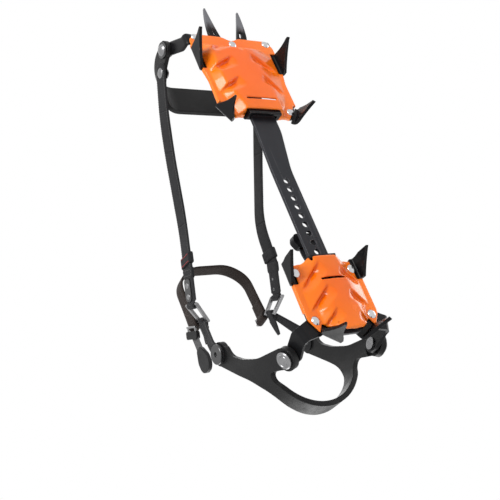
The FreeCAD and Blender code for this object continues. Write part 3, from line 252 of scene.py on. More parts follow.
def webbing(name, dark, light):
    """Woven strap: warp ribs along it, with the weft crossing every other one; painted shade darkens the
    weave's valleys.
    """
    m = Maker(name)
    along, across = m.strap_axes()
    column = m.math("DIVIDE", across, WARP_RIB)
    parity = m.math("MULTIPLY", m.math("FLOORED_MODULO", m.math("FLOOR", column), 2.0), 0.5)
    turn = m.math("MULTIPLY", m.math("ADD", m.math("DIVIDE", along, WEFT_PITCH), parity), 2 * math.pi)
    warp = m.math("MULTIPLY_ADD", m.math("SINE", turn), 0.5, 0.5)
    valley = m.math("ABSOLUTE", m.math("SINE", m.math("MULTIPLY", column, math.pi)))
    height = m.math("MULTIPLY", m.math("POWER", valley, 0.6), m.math("MULTIPLY_ADD", warp, 0.6, 0.4))
    # Painted shade: the colour darkens in the weave's valleys and lightens on its crests, following the
    # bump's height, over random grain from the noise.
    tone = m.math("ADD", m.math("MULTIPLY", m.noise(2600, 3), 0.45), m.math("MULTIPLY", height, 0.75))
    colour = m.ramp(tone, (0.25, dark), (0.9, light))
    m.set(Roughness=0.8, Specular_IOR_Level=0.15, Sheen_Weight=0.12, Sheen_Roughness=0.4)
    return m.done(colour, None, m.bump(height, 0.7, 0.0004))


def thread(name, colour):
    """Twisted sewing thread."""
    m = Maker(name)
    shade = tuple(0.55 * part for part in colour)
    tone = m.ramp(m.noise(3200, 2), (0.3, shade), (0.7, colour))
    m.set(Roughness=0.7, Sheen_Weight=0.3)
    return m.done(tone, None, m.bump(m.noise(5200, 2), 0.4, 0.0002))


COAT = black_coat("satin_black_coat")
WORN_COAT = black_coat("worn_black_coat", WEAR_START)
BAR = bar_coat()
RIVET = polished("polished_steel", 0.66, 0.12, 0.28)
WIRE = polished("wire_steel", 0.34, 0.25, 0.4)
SCREW = polished("screw_steel", 0.11, 0.28, 0.42)
LUG_RIVET = polished("lug_rivet_steel", 0.32, 0.2, 0.4)
ORANGE = orange_plastic()
MOULDING = black_moulding("black_moulding", 0.006, 0.012)
GREY_MOULDING = black_moulding("grey_moulding", 0.012, 0.022)
WEBBING = webbing("black_webbing", (0.004, 0.004, 0.005), (0.024, 0.024, 0.026))
BROWN = webbing("brown_webbing", (0.009, 0.006, 0.005), (0.040, 0.029, 0.025))
GREY_WEBBING = webbing("grey_webbing", (0.040, 0.040, 0.041), (0.150, 0.150, 0.152))
BLACK_THREAD = thread("black_thread", (0.05, 0.05, 0.05))
BROWN_THREAD = thread("brown_thread", (0.09, 0.06, 0.05))
RED_THREAD = thread("red_thread", (0.55, 0.015, 0.02))
BLACK_TAB = webbing("stiffened_webbing", (0.008, 0.008, 0.009), (0.03, 0.03, 0.032))

FINISH = {
    COAT: ("heel_frame", "lock_pin", "lock_knob", "strap_screw_nuts"),
    WORN_COAT: ("front_frame",),
    WIRE: ("buckle_frames", "strap_slider"),
    BAR: ("link_bar",),
    RIVET: ("heel_plate_rivets", "front_plate_rivets"),
    LUG_RIVET: ("toe_pivot_rivets", "toe_strap_rivets", "cradle_pivot_rivets", "strap_plate_rivets",
                "lock_spring_rivets"),
    SCREW: ("strap_screws", "strap_plates", "toe_pivot_washers", "cradle_pivot_washers"),
    ORANGE: ("heel_antiball_plate", "front_antiball_plate"),
    MOULDING: ("toe_basket", "heel_cradle", "strap_keeper"),
    GREY_MOULDING: ("tail_tab",),
}
for material, names in FINISH.items():
    for name in names:
        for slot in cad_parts[name].material_slots:
            slot.material = material


# ---------------------------------------------------------------- straps

MM = 0.001
FRONT_X = -6.5        # middle line of the front section, in millimetres
STEP = 1.6            # between the rows of a side strap
SIDE_WEB = 15         # width of a side strap
RING_WRAP = 2.15      # from the middle of a ring's bar to the middle of the strap round it
X_AXIS = Vector((1, 0, 0))
Y_AXIS = Vector((0, 1, 0))
Z_AXIS = Vector((0, 0, 1))


def curve(start, corner, end, count):
    """Points of the curve that rounds a corner."""
    shares = [k / count for k in range(count + 1)]
    return [start * (1 - t) ** 2 + corner * (2 * t * (1 - t)) + end * t ** 2 for t in shares]


def smooth_path(corners, radius, step):
    """Points about a step apart along a run of straight stretches whose corners are rounded."""
    corners = [Vector(corner) for corner in corners]
    dense = [corners[0]]
    for before, corner, after in zip(corners, corners[1:], corners[2:]):
        reach = min(radius, 0.48 * (corner - before).length, 0.48 * (after - corner).length)
        start = corner + (before - corner).normalized() * reach
        end = corner + (after - corner).normalized() * reach
        dense += curve(start, corner, end, 12)
    dense.append(corners[-1])
    return resampled(dense, step)


def resampled(points, step):
    """The same run as points about a step apart."""
    lengths = [0.0]
    for a, b in zip(points, points[1:]):
        lengths.append(lengths[-1] + (b - a).length)
    count = max(2, round(lengths[-1] / step))
    result = []
    place = 0
    for k in range(count + 1):
        want = lengths[-1] * k / count
        while place < len(points) - 2 and lengths[place + 1] < want:
            place += 1
        span = lengths[place + 1] - lengths[place]
        share = 0 if span < 1e-9 else (want - lengths[place]) / span
        result.append(points[place].lerp(points[place + 1], min(1, share)))
    return result


def strap_section():
    """Outline of a flat strap from above: (share of half width, share of half thickness, face)."""
    count = 9
    flat = 0.8
    top = []
    for k in range(count):
        s = math.sin(math.pi * (k / (count - 1) - 0.5))
        fall = max(0.0, abs(s) - flat) / (1 - flat)
        top.append((s, 1.0 - 0.5 * fall ** 2, 1))
    return top + [(s, -t, -1) for s, t, _ in reversed(top)]


def ribbon(name, rows, material, along=0.0):
    """Strap through rows of (middle, across, out, width, thickness).

    The distances along and across it are stored for the weave; along is where they start.
    """
    section = strap_section()
    mesh = bpy.data.meshes.new(name)
    points = []
    marks = []
    last = rows[0][0]
    for middle, across, out, width, thick in rows:
        along += (middle - last).length
        last = middle
        for s, t, face in section:
            points.append(middle + across * (s * width / 2) + out * (t * thick / 2))
            marks.append((along, s * width / 2, face))
    ring = len(section)
    faces = []
    for row in range(len(rows) - 1):
        for k in range(ring):
            after = (k + 1) % ring
            low = row * ring
            faces.append((low + k, low + after, low + ring + after, low + ring + k))
    faces.append(tuple(reversed(range(ring))))
    faces.append(tuple((len(rows) - 1) * ring + k for k in range(ring)))
    mesh.from_pydata(points, [], faces)
    stored = mesh.attributes.new("strap", "FLOAT_VECTOR", "POINT")
    stored.data.foreach_set("vector", [value for mark in marks for value in mark])
    mesh.materials.append(material)
    return finished(name, mesh)


def smooth_shade(mesh):
    """Smooth shading, apart from the flat caps, which have more than four corners."""
    mesh.polygons.foreach_set("use_smooth", [face.loop_total <= 4 for face in mesh.polygons])


def finished(name, mesh):
    """Object for a mesh, its faces turned outwards and shaded."""
    work = bmesh.new()
    work.from_mesh(mesh)
    bmesh.ops.recalc_face_normals(work, faces=work.faces)
    work.to_mesh(mesh)
    work.free()
    smooth_shade(mesh)
    mesh.update()
    piece = bpy.data.objects.new(name, mesh)
    bpy.context.scene.collection.objects.link(piece)
    return piece


def joined(name, pieces):
    """One object from several that share a material."""
    work = bmesh.new()
    for piece in pieces:
        work.from_mesh(piece.data)
    mesh = pieces[0].data
    work.to_mesh(mesh)
    work.free()
    for piece in pieces[1:]:
        bpy.data.objects.remove(piece)
    pieces[0].name = name
    mesh.name = name
    smooth_shade(mesh)
    return pieces[0]


def mirrored_rows(rows):
    flip = Vector((-1, 1, 1))
    return [(middle * flip, across * flip, out * flip, *sizes) for middle, across, out, *sizes in rows]


def path_rows(points, across, width, thick, out=None):
    """Rows along points; across, width and thickness may be functions of the distances from both ends."""
    total = sum((b - a).length for a, b in zip(points, points[1:]))
    rows = []
    done = 0.0
    for k, point in enumerate(points):
        before = points[max(0, k - 1)]
        after = points[min(len(points) - 1, k + 1)]
        done += (point - before).length
        wide, deep, hint = [v(done, total - done) if callable(v) else v for v in (width, thick, across)]
        way = (after - before).normalized()
        side = (hint - way * hint.dot(way)).normalized()
        face = out if out is not None else way.cross(side)
        face = (face - side * face.dot(side)).normalized()
        rows.append((point, side, face, wide, deep))
    return rows


def round_end(distance, width, length=6 * MM):
    """Width of a strap this far from its rounded end."""
    share = min(1.0, distance / length)
    return width * max(0.25, math.sqrt(1 - (1 - share) ** 2))


STITCH_PITCH = 2.1 * MM
THREAD = 0.26 * MM
STITCH = ((0.08, -0.9, 0.5), (0.22, 0.25, 0.9), (0.5, 0.55, 1.0), (0.78, 0.25, 0.9), (0.92, -0.9, 0.5))


def stitches(name, lines, face, material):
    """Raised stitches along lines of points, on the side that face points to.

    STITCH gives each ring of a stitch: how far along it lies, its rise and its radius, in threads.
    """
    sides = 6
    mesh = bpy.data.meshes.new(name)
    points = []
    faces = []
    for line in lines:
        spots = resampled([Vector(point) for point in line], STITCH_PITCH)
        for a, b in zip(spots, spots[1:]):
            way = (b - a).normalized()
            side = way.cross(face).normalized()
            lift = side.cross(way)
            base = len(points)
            for share, rise, size in STITCH:
                middle = a.lerp(b, share) + lift * (rise * THREAD)
                for k in range(sides):
                    turn = 2 * math.pi * k / sides
                    points.append(middle + (side * math.cos(turn) + lift * math.sin(turn)) * (size * THREAD))
            last = len(points) - sides
            for low in range(base, last, sides):
                for k in range(sides):
                    after = (k + 1) % sides
                    faces.append((low + k, low + after, low + sides + after, low + sides + k))
            faces.append(tuple(base + k for k in reversed(range(sides))))
            faces.append(tuple(last + k for k in range(sides)))
    mesh.from_pydata(points, [], faces)
    mesh.materials.append(material)
    return finished(name, mesh)


def mm(x, y, z):
    """Point given in millimetres."""
    return Vector((x, y, z)) * MM


RING_MID = (42.0, 79.4, 113.3)   # middle of the outer ring's front bar
RING_TURN = math.radians(-34)    # of the ring, about its front bar
RING_DEPTH = 15.5                # from its front bar to its rear bar
FALL = math.radians(24)          # slope of the riveted tab


def fallen(x, y, z, side=1):
    """Point in the axes of the riveted tab, which falls towards the toe from the ring's front bar."""
    return mm(
        side * (RING_MID[0] + x),
        RING_MID[1] + y * math.cos(FALL) + z * math.sin(FALL),
        RING_MID[2] - y * math.sin(FALL) + z * math.cos(FALL),
    )


# Each stretch of a side strap: the body it rides, the one behind it, and where the change starts and ends.
BLENDS = {
    "strap_end": ("heel_section", "heel_cradle", 0.145, 0.100),
    "strap_rear": ("link_bar", "heel_section", 0.205, 0.145),
    "strap_mid": ("front_section", "link_bar", 0.236, 0.205),
    "strap_fore": ("toe_basket", "front_section", 0.262, 0.236),
}


def blended(piece, node):
    """Stands a stretch of strap in place of a CAD node, which it hides, with its place baked into its mesh.
    """
    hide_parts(node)
    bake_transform(piece)


def make_side_straps():
    """The long strap on each side, from the riveted tab forward to the toe basket."""
    parts = {name: [] for name in BLENDS}
    seams = {name: [] for name in BLENDS}
    loops = []
    reds = []
    changes = [start for _, _, start, _ in BLENDS.values()][:-1]

    def width(_, left):
        return round_end(left, SIDE_WEB * MM)

    for side in (1, -1):
        corners = [
            fallen(0, 25, 0, side), fallen(0, 30, 0, side), mm(-2.4 + side * 38.5, 145, 96.5),
            mm(FRONT_X + side * 45.1, 205, 74.0), mm(FRONT_X + side * 48.1, 236, 56.5),
            mm(FRONT_X + side * 48.1, 272.4, 35.8),
        ]
        points = smooth_path(corners, 16 * MM, STEP * MM)
        rows = path_rows(points, Z_AXIS, width, 2.0 * MM, X_AXIS * side)
        cuts = [min(range(len(rows)), key=lambda k: abs(rows[k][0].y - y)) for y in changes]
        limits = (0, *cuts, len(rows) - 1)
        for name, first, last in zip(BLENDS, limits, limits[1:]):
            part = rows[first:last + 1]
            parts[name].append(ribbon(name + "_web", part, WEBBING, STEP * MM * first))
            if name == "strap_fore":
                part = part[:-4]
            lines = [[m + a * (s * 6.3 * MM) + o * (1.0 * MM) for m, a, o, *_ in part] for s in (1, -1)]
            seams[name].append(stitches(name + "_seam", lines, X_AXIS * side, BLACK_THREAD))
        middle, across, out, *_ = rows[8]
        way = (rows[9][0] - rows[7][0]).normalized()
        flat = [(0, -1.9), (8.4, -1.9), (8.4, 1.9), (-8.4, 1.9), (-8.4, -1.9), (0.6, -1.9)]
        around = [middle + across * (a * MM) + out * (o * MM) for a, o in flat]
        band = path_rows(smooth_path(around, 1.8 * MM, 0.5 * MM), way, 9 * MM, 1.1 * MM)
        loops.append(ribbon("loop", band, WEBBING))
        face = middle + out * (2.5 * MM)
        lines = [[face + way * (w * MM) + across * (a * MM) for a in (-7, 7)] for w in (-3.2, 3.2)]
        reds.append(stitches("red", lines, out, RED_THREAD))
    for name in BLENDS:
        blended(joined(name + "_webbing", parts[name]), name)
        blended(joined(name + "_stitching", seams[name]), name)
    blended(joined("strap_loops", loops), "strap_end")
    blended(joined("strap_loop_stitching", reds), "strap_end")


def held(piece, node, body="heel_cradle"):
    """Lets a piece ride a body in place of a CAD node."""
    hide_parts(node)
    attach(piece, body)


def arc(middle, first, second, radius, start, stop, count=14):
    """Points round a middle, from start to stop degrees measured from first towards second."""
    angles = [math.radians(start + (stop - start) * k / count) for k in range(count + 1)]
    return [middle + (first * math.cos(angle) + second * math.sin(angle)) * radius for angle in angles]


def make_tabs():
    """Stiffened end of each side strap, looped round the ring's front bar, with a sleeve for the strap."""
    tabs = []
    seams = []
    neck = 11.5 * MM
    wide = 14 * MM
    sleeve = 9 * MM

    def width(done, left):
        if done < 14 * MM:
            return neck
        if left > sleeve:
            return wide
        return wide + 1.8 * MM * min(1, (sleeve - left) / (2 * MM))

    def thick(_, left):
        return (1.4 if left > 8.5 * MM else 3.0 - 0.4 * max(0, 1 - left / MM)) * MM

    for side in (1, -1):
        middle = fallen(0, 0, 0, side)
        along = (fallen(0, 1, 0, side) - middle).normalized()
        across = (fallen(0, 0, 1, side) - middle).normalized()
        out = X_AXIS * side
        start = arc(middle, along, out, RING_WRAP * MM, -25, -335, 20)
        points = [start[0]] + start + [fallen(0.0, 4.4, 0, side), fallen(0, 31, 0, side)]
        points = resampled(points, 0.9 * MM)
        rows = path_rows(points, across, width, thick)
        tabs.append(ribbon("tab", rows, BLACK_TAB))
        lines = [[fallen(1.55, y, z, side) for z in (-6.4, 6.4)] for y in (24.5, 29)]
        lines += [[fallen(1.55, y, z, side) for y in (24.5, 29)] for z in (-6.4, 6.4)]
        seams.append(stitches("tab_seam", lines, out, BLACK_THREAD))
    held(joined("strap_tabs_webbing", tabs), "strap_tabs")
    held(joined("strap_tabs_stitching", seams), "strap_tabs")


def ringed(x, y, z):
    """Point in the ring's own axes: out, along, up from its front bar."""
    turn = Matrix.Rotation(-FALL, 3, "X") @ Matrix.Rotation(RING_TURN, 3, "Z")
    return mm(*RING_MID) + turn @ mm(x, y, z)


def make_links():
    """Flexible link from each cradle screw to the ring's rear bar, its trimmed end folded back."""
    bar = ringed(0, -RING_DEPTH, 0)
    out = (ringed(1, -RING_DEPTH, 0) - bar).normalized()
    up = (ringed(0, -RING_DEPTH, 1) - bar).normalized()
    along = (ringed(0, 1 - RING_DEPTH, 0) - bar).normalized()
    screw = mm(45.3, 26.4, 95.0)
    run = Vector((0, bar.y - screw.y, bar.z - screw.z)).normalized()
    side = Vector((0, -run.z, run.y))
    step = 0.9 * MM
    eye = 7.4 * MM
    shoulder = 17 * MM
    folded = 14 * MM
    wrap = out * (RING_WRAP * MM)
    leg = smooth_path([screw - run * eye, screw + run * (10.2 * MM), bar + wrap], 5 * MM, 1 * MM)
    turn = arc(bar, out, along, RING_WRAP * MM, 0, 180)
    fold = [bar - wrap + mm(2.9, -13.5, 2.4), bar - wrap + mm(4.2, -21.0, 3.2)]
    back = smooth_path([turn[-1], *fold], 5 * MM, 1 * MM)
    points = resampled(leg + turn[1:] + back[1:], step)
    reach = sum((b - a).length for a, b in zip(leg, leg[1:]))

    def width(done, left):
        if done < shoulder:
            wide = (14.8 - 4.8 * max(0, done - eye) / (shoulder - eye)) * MM
            return round_end(done, wide, eye)
        if left < folded:
            return (3.0 + 7.0 * (left / folded) ** 0.7) * MM
        return (10 - 1.8 * min(1, (done - shoulder) / (reach - shoulder))) * MM

    def thick(done, _):
        return (2.0 - 0.7 * min(1, done / reach)) * MM

    def across(done, _):
        share = min(1, max(0, (done - 12 * MM) / (reach - 14 * MM)))
        return side.lerp(up, share)

    if side.dot(up) < 0:
        side.negate()
    rows = path_rows(points, across, width, thick)
    both = (rows, mirrored_rows(rows))
    pieces = [ribbon("link", one, WEBBING) for one in both]
    held(joined("strap_links_webbing", pieces), "strap_links")
    seams = []
    for one in both:
        part = one[6:int(reach / step) - 4]
        outward = part[len(part) // 2][2]
        face = -1 if outward.x * part[0][0].x < 0 else 1
        lines = []
        for edge in (1, -1):
            lines.append([m + a * (edge * (w / 2 - 1.3 * MM)) + o * (face * t / 2) for m, a, o, w, t in part])
        seams.append(stitches("link_seam", lines, outward * face, BLACK_THREAD))
    held(joined("strap_links_stitching", seams), "strap_links")


ANKLE_MID = (69.3, 133.1)       # along and above, of the arms that hold the ankle strap
ANKLE_RISE = math.radians(6)
ARM_X = 33.33
ARM_WRAP = 2.45                 # from the middle of an arm to the middle of the strap round it


def ankle(x, y, z):
    """Point in the axes of the ankle strap: out, along, across from the arms."""
    return mm(
        x,
        ANKLE_MID[0] + y * math.cos(ANKLE_RISE) - z * math.sin(ANKLE_RISE),
        ANKLE_MID[1] + y * math.sin(ANKLE_RISE) + z * math.cos(ANKLE_RISE),
    )


def make_ankle_strap():
    """Brown strap round the front of the ankle, looped and sewn on an arm at each side."""
    angles = [math.radians(150 + 15 * k) for k in range(14)]
    sewn = [(33.7, 17), (33.5, 4.8)]
    sewn += [(ARM_X + ARM_WRAP * math.cos(turn), ARM_WRAP * math.sin(turn)) for turn in angles]
    bend = [(35.0, 17), (34.55, 43.6), (19.3, 57.0)]
    loop = [ankle(x, y, 0) for x, y in sewn]
    left = [ankle(-x, y, 0) for x, y in reversed(sewn)]
    front = [ankle(x, y, 0) for x, y in bend] + [ankle(-x, y, 0) for x, y in reversed(bend)]
    middle = smooth_path([loop[-1], *front, left[0]], 15 * MM, 1.5 * MM)
    across = (ankle(0, 0, 1) - ankle(0, 0, 0)).normalized()
    points = resampled(loop + middle[1:-1] + left, 1.2 * MM)

    def thick(done, left):
        return (1.1 if min(done, left) < 13 * MM else 2.0) * MM

    rows = path_rows(points, across, 13 * MM, thick)
    held(ribbon("instep_strap_webbing", rows, BROWN), "instep_strap")
    seams = []
    for side in (1, -1):
        box = [(8, -4.6), (16, -4.6), (16, 4.6), (8, 4.6), (8, -4.6), (16, 4.6)]
        spots = [ankle(side * 36.0, y, z) for y, z in box]
        seams.append(stitches("ankle_seam", list(zip(spots, spots[1:])), X_AXIS * side, BROWN_THREAD))
    held(joined("instep_strap_stitching", seams), "instep_strap")


def make_tail():
    """Loose tail of the ankle strap, from the keeper down to its pull tab."""
    across = (ankle(0, 0, 1) - ankle(0, 0, 0)).normalized()
    points = resampled([ankle(38.4, y, -0.8) for y in (-6.9, -25.1)], 1 * MM)
    rows = path_rows(points, across, 9.2 * MM, 1.4 * MM, X_AXIS)
    held(ribbon("strap_tail_webbing", rows, GREY_WEBBING), "strap_tail")


# ---------------------------------------------------------------- moulded plates

FLANGE = 4.1          # depth of a plate's flat edge below the sole plane
CREST = 11.6          # depth of its ridge
RIM_TOP = 0.6         # depth of the flat edge's upper face
PLATE_WALL = 1.5
GRID = 0.9            # of a plate's skin
GRID_SHIFT = 0.137    # keeps the grid's lines off the outline's corners


def both_ways(right_side, x=0.0):
    """Outline from one side's corners and their mirror image about x."""
    return right_side + [(2 * x - a, b, r) for a, b, r in reversed(right_side) if a != x]


# Corners (x, y, radius) of the outlines, from the front along the side of positive x.
HEEL_EDGE = both_ways([
    (9, 50, 7), (17, 45, 6), (29, 43.8, 4), (31.5, 38, 5), (31.5, 0.8, 7), (24, -10.2, 6), (10, -14.2, 10),
])
FRONT_EDGE = both_ways([
    (FRONT_X, 264.5, 8), (1.5, 268.5, 5), (27.5, 269, 5), (34.5, 262.5, 5), (35, 241.5, 15),
    (30.5, 218.5, 30), (31, 194.5, 10), (28, 184.5, 5), (22.5, 180.6, 4), (14.5, 182.6, 6),
    (9.5, 181.5, 4),
], FRONT_X)


def rounded(corners):
    """Outline with its corners, (x, y, radius), rounded."""
    result = []
    for k, (x, y, radius) in enumerate(corners):
        corner = Vector((x, y))
        before = Vector(corners[k - 1][:2]) - corner
        after = Vector(corners[(k + 1) % len(corners)][:2]) - corner
        half = before.angle(after) / 2
        reach = min(radius / math.tan(half), 0.47 * before.length, 0.47 * after.length)
        start = corner + before.normalized() * reach
        end = corner + after.normalized() * reach
        result += curve(start, corner, end, 6)
    return result


def inset(points, amount):
    """Outline moved inwards; the points run clockwise seen from above."""
    result = []
    for k, point in enumerate(points):
        way = (points[(k + 1) % len(points)] - points[k - 1]).normalized()
        result.append(point + Vector((way.y, -way.x)) * amount)
    return result


def low_of(a, b, soft):
    """Smooth lower of two heights."""
    share = np.clip(0.5 + 0.5 * (b - a) / soft, 0, 1)
    return b * (1 - share) + a * share - soft * share * (1 - share)


NARROWING = 0.35      # of a notch, towards its end
WALL_EDGE = 0.9       # a notch's wall starts this far to the toe side of its axis
WALL_RUN = 1.2
SOFT = 1.6            # rounding between the faces of a plate
SOFT_CREST = 1.4


def hollow(x, y, start, end, wide, depth):
    """Notch across a flank: a steep wall on the toe side of its axis and a ramp behind it."""
    run = np.array(end, float) - start
    long = np.linalg.norm(run)
    run = run / long
    along = ((x - start[0]) * run[0] + (y - start[1]) * run[1]) / long
    across = (x - start[0]) * -run[1] + (y - start[1]) * run[0]
    if run[0] < 0:
        across = -across
    wide = wide * (1 - NARROWING * np.clip(along, 0, 1))
    side = np.clip(1 + across / wide, 0, 1) * np.clip((WALL_EDGE - across) / WALL_RUN, 0, 1)
    ends = np.clip((along + 0.12) / 0.3, 0, 1) * np.clip((1.08 - along) / 0.35, 0, 1)
    return depth * side * ends


def plate_depth(x, y, plate):
    """How far the plate's outer face lies below the sole plane."""
    ys, left_low, left_high, right_high, right_low = np.array(plate["stations"], float).T
    ll, lh, rh, rl = [np.interp(y, ys, line) for line in (left_low, left_high, right_high, right_low)]
    rise = CREST - FLANGE
    left = FLANGE + rise * (ll - x) / (ll - lh)
    right = FLANGE + rise * (x - rl) / (rh - rl)
    middle = (lh + rh) / 2
    crest = CREST - plate["crown"] * ((x - middle) / (lh - rh)) ** 2
    front, front_run, rear, rear_run = plate["ends"]
    depth = low_of(low_of(left, right, SOFT), crest, SOFT_CREST)
    depth = low_of(depth, FLANGE + rise * (front - y) / front_run, SOFT)
    depth = low_of(depth, FLANGE + rise * (y - rear) / rear_run, SOFT)
    for notch in plate["hollows"]:
        depth = depth - hollow(x, y, *notch)
    return np.maximum(depth, FLANGE)


def slab(name, points, low, high):
    """Closed upright prism on an outline in millimetres."""
    mesh = bpy.data.meshes.new(name)
    count = len(points)
    spots = [mm(x, y, z) for z in (low, high) for x, y in points]
    faces = [tuple(range(count)), tuple(range(2 * count - 1, count - 1, -1))]
    faces += [(k, (k + 1) % count, count + (k + 1) % count, count + k) for k in range(count)]
    mesh.from_pydata(spots, [], faces)
    return finished(name, mesh)


def skin(name, points, plate):
    """Plate without its rim: a fine grid inside the outline, bent to its depth and given a wall."""
    mesh = bpy.data.meshes.new(name)
    mesh.from_pydata([mm(x, y, 0) for x, y in points], [], [tuple(range(len(points)))])
    work = bmesh.new()
    work.from_mesh(mesh)
    for axis in (0, 1):
        low = min(point[axis] for point in points)
        high = max(point[axis] for point in points)
        for k in range(1, int((high - low) / GRID)):
            place = Vector((0, 0, 0))
            place[axis] = (low + GRID * k - GRID_SHIFT) * MM
            normal = Vector((0, 0, 0))
            normal[axis] = 1
            bmesh.ops.bisect_plane(
                work, geom=work.verts[:] + work.edges[:] + work.faces[:], plane_co=place, plane_no=normal)
    spots = np.array([vertex.co for vertex in work.verts]) * 1000
    depth = plate_depth(spots[:, 0], spots[:, 1], plate)
    for vertex, down in zip(work.verts[:], depth):
        vertex.co.z = -down * MM
    rim = [edge for edge in work.edges if edge.is_boundary]
    lower = work.faces[:]
    wall = Vector((0, 0, PLATE_WALL * MM))
    upper = {vertex: work.verts.new(vertex.co + wall) for vertex in work.verts[:]}
    for face in lower:
        work.faces.new([upper[vertex] for vertex in reversed(face.verts)])
    for edge in rim:
        a, b = edge.verts
        work.faces.new((a, b, upper[b], upper[a]))
    work.to_mesh(mesh)
    work.free()
    return finished(name, mesh)


def bake(piece):
    """Puts what the modifiers make into the mesh itself."""
    bpy.context.view_layer.update()
    graph = bpy.context.evaluated_depsgraph_get()
    mesh = bpy.data.meshes.new_from_object(piece.evaluated_get(graph))
    piece.modifiers.clear()
    piece.data = mesh


def block(low, high, mid=(0, 0), heading=0):
    """Cutter: a box turned by a heading about its own origin and moved to a middle."""
    turn = Matrix.Rotation(math.radians(heading), 2)
    flat = [(low[0], low[1]), (low[0], high[1]), (high[0], high[1]), (high[0], low[1])]
    return slab("gate", [turn @ Vector(spot) + Vector(mid) for spot in flat], low[2], high[2])


def both_blocks(low, high, mid=(0, 0), heading=0, x=0.0):
    """The same cutter on both sides of x; its middle is measured from x."""
    one = block(low, high, (mid[0] + x, mid[1]), heading)
    spots = [vertex.co for vertex in reversed(one.data.vertices[:4])]
    mirrored = [(2 * x - spot.x * 1000, spot.y * 1000) for spot in spots]
    return [one, slab("gate", mirrored, low[2], high[2])]


def soft_plate(node_name, body, edge, plate, gates):
    """Antiball plate: the CAD plate's outline, rim and openings, with soft ridges and stepped hollows."""
    points = rounded(edge)
    if sum((b.x - a.x) * (b.y + a.y) for a, b in zip(points, points[1:] + points[:1])) < 0:
        points.reverse()
    rim = slab("rim", points, -FLANGE, -RIM_TOP)
    inner = slab("inner", inset(points, PLATE_WALL), -9, 9)
    piece = skin(node_name + "_moulded", points, plate)
    for target, cutters in ((rim, [inner] + gates), (piece, gates)):
        for cutter in cutters:
            cut = target.modifiers.new("cut", "BOOLEAN")
            cut.operation = "DIFFERENCE"
            cut.solver = "MANIFOLD"
            cut.object = cutter
        bake(target)
    for cutter in [inner] + gates:
        bpy.data.objects.remove(cutter)
    piece = joined(piece.name, [piece, rim])
    remesh = piece.modifiers.new("remesh", "REMESH")
    remesh.mode = "VOXEL"
    remesh.voxel_size = 0.5 * MM
    smooth = piece.modifiers.new("smooth", "SMOOTH")
    smooth.factor = 0.5
    smooth.iterations = 3
    thin = piece.modifiers.new("thin", "DECIMATE")
    thin.ratio = 0.35
    bake(piece)
    piece.data.materials.clear()
    piece.data.materials.append(ORANGE)
    piece.data.polygons.foreach_set("use_smooth", [True] * len(piece.data.polygons))
    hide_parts(node_name)
    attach(piece, body)


# stations: y, then x of the foot and crest of one flank and of the crest and foot of the other.
# crown: four times what the ridge loses from its middle line to its sides.
# ends: y of the front foot and its run, and the same at the rear.
# hollows: the axis of a notch from its start to its end, its width and its depth.
HEEL_PLATE = {
    "stations": [
        (-14.2, 13, 9, -9, -13), (-8, 19.5, 12, -11.6, -19.5), (4.4, 20.8, 11.3, -11, -20.8),
        (8, 26.5, 11.1, -10.3, -26.5), (30, 26.5, 10.4, -11.6, -26.5), (33.6, 20.8, 10.3, -11.6, -20.8),
        (42.5, 20.5, 10, -10.6, -20.5), (50, 13, 9, -9, -13),
    ],
    "crown": 2.6,
    "ends": (49.2, 2.2, -14.4, 3.0),
    "hollows": [
        ((9.5, 40), (25, 24.5), 9, 5.4), ((9.5, 21.5), (26, 6), 9, 5.4), ((9.5, 3.5), (21, -7.5), 8, 4.4),
        ((-10.5, 36), (-24.5, 26.5), 8, 4.0), ((-10.5, 17), (-24.5, 8), 8, 4.0),
        ((-10.5, -1), (-20, -8), 7, 3.2),
    ],
}
FRONT_PLATE = {
    "stations": [
        (180.5, 17, 11.5, -21.5, -25), (191, 19.5, 12.5, -22.6, -29), (194, 21, 13.5, -22.3, -31.5),
        (199, 23.5, 16, -21.8, -34), (206, 27, 19.5, -21.3, -37), (216, 28, 22, -20.2, -38.5),
        (230, 28, 22.6, -18.6, -41.5), (247, 28.2, 21.5, -16.2, -41.5),
        (256, 24, 15, -13, -34), (263, 18, 10, -12, -32),
    ],
    "crown": 1.2,
    "ends": (257.5, 7.0, 182.2, 2.0),
    "hollows": [
        ((8, 257), (22, 248), 9, 3.6), ((8, 238), (26.5, 227), 10, 4.2), ((9, 216), (25.5, 205), 10, 4.2),
        ((-16, 243), (-37, 232), 9, 3.8), ((-19, 220), (-36, 209), 9, 3.8), ((-3.5, 262), (-9, 249), 6, 2.8),
    ],
}


def make_lock_spring():
    """Leaf spring under the lock knob, stepped up towards its tail."""
    profile = [(8, 0.5), (43.6, 0.5), (54.6, 5.0), (71.5, 5.0)]
    points = smooth_path([mm(0, y, z) for y, z in profile], 7 * MM, 1 * MM)
    rows = path_rows(points, X_AXIS, lambda done, _: round_end(done, 13 * MM, 5 * MM), 1 * MM)
    piece = ribbon("lock_spring_leaf", rows, BAR)
    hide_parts("lock_spring")
    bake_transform(piece)


def make_toe_brackets():
    """Ears folded up beside the toe that carry the toe basket; the CAD's front frame lacks them."""
    corners = [
        (32, 264, -1.25), (42.05, 265, -1.25), (42.05, 265, 5), (42.05, 279, 25), (42.05, 279, 33.5),
    ]
    ears = []
    for side in (-1, 1):
        points = smooth_path([mm(FRONT_X + side * x, y, z) for x, y, z in corners], 6 * MM, 1 * MM)
        rows = path_rows(points, Y_AXIS, lambda _, left: round_end(left, 11.5 * MM), 2.44 * MM)
        ears.append(ribbon("toe_bracket", rows, COAT))
    piece = joined("toe_brackets_folded", ears)
    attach(piece, "front_section")


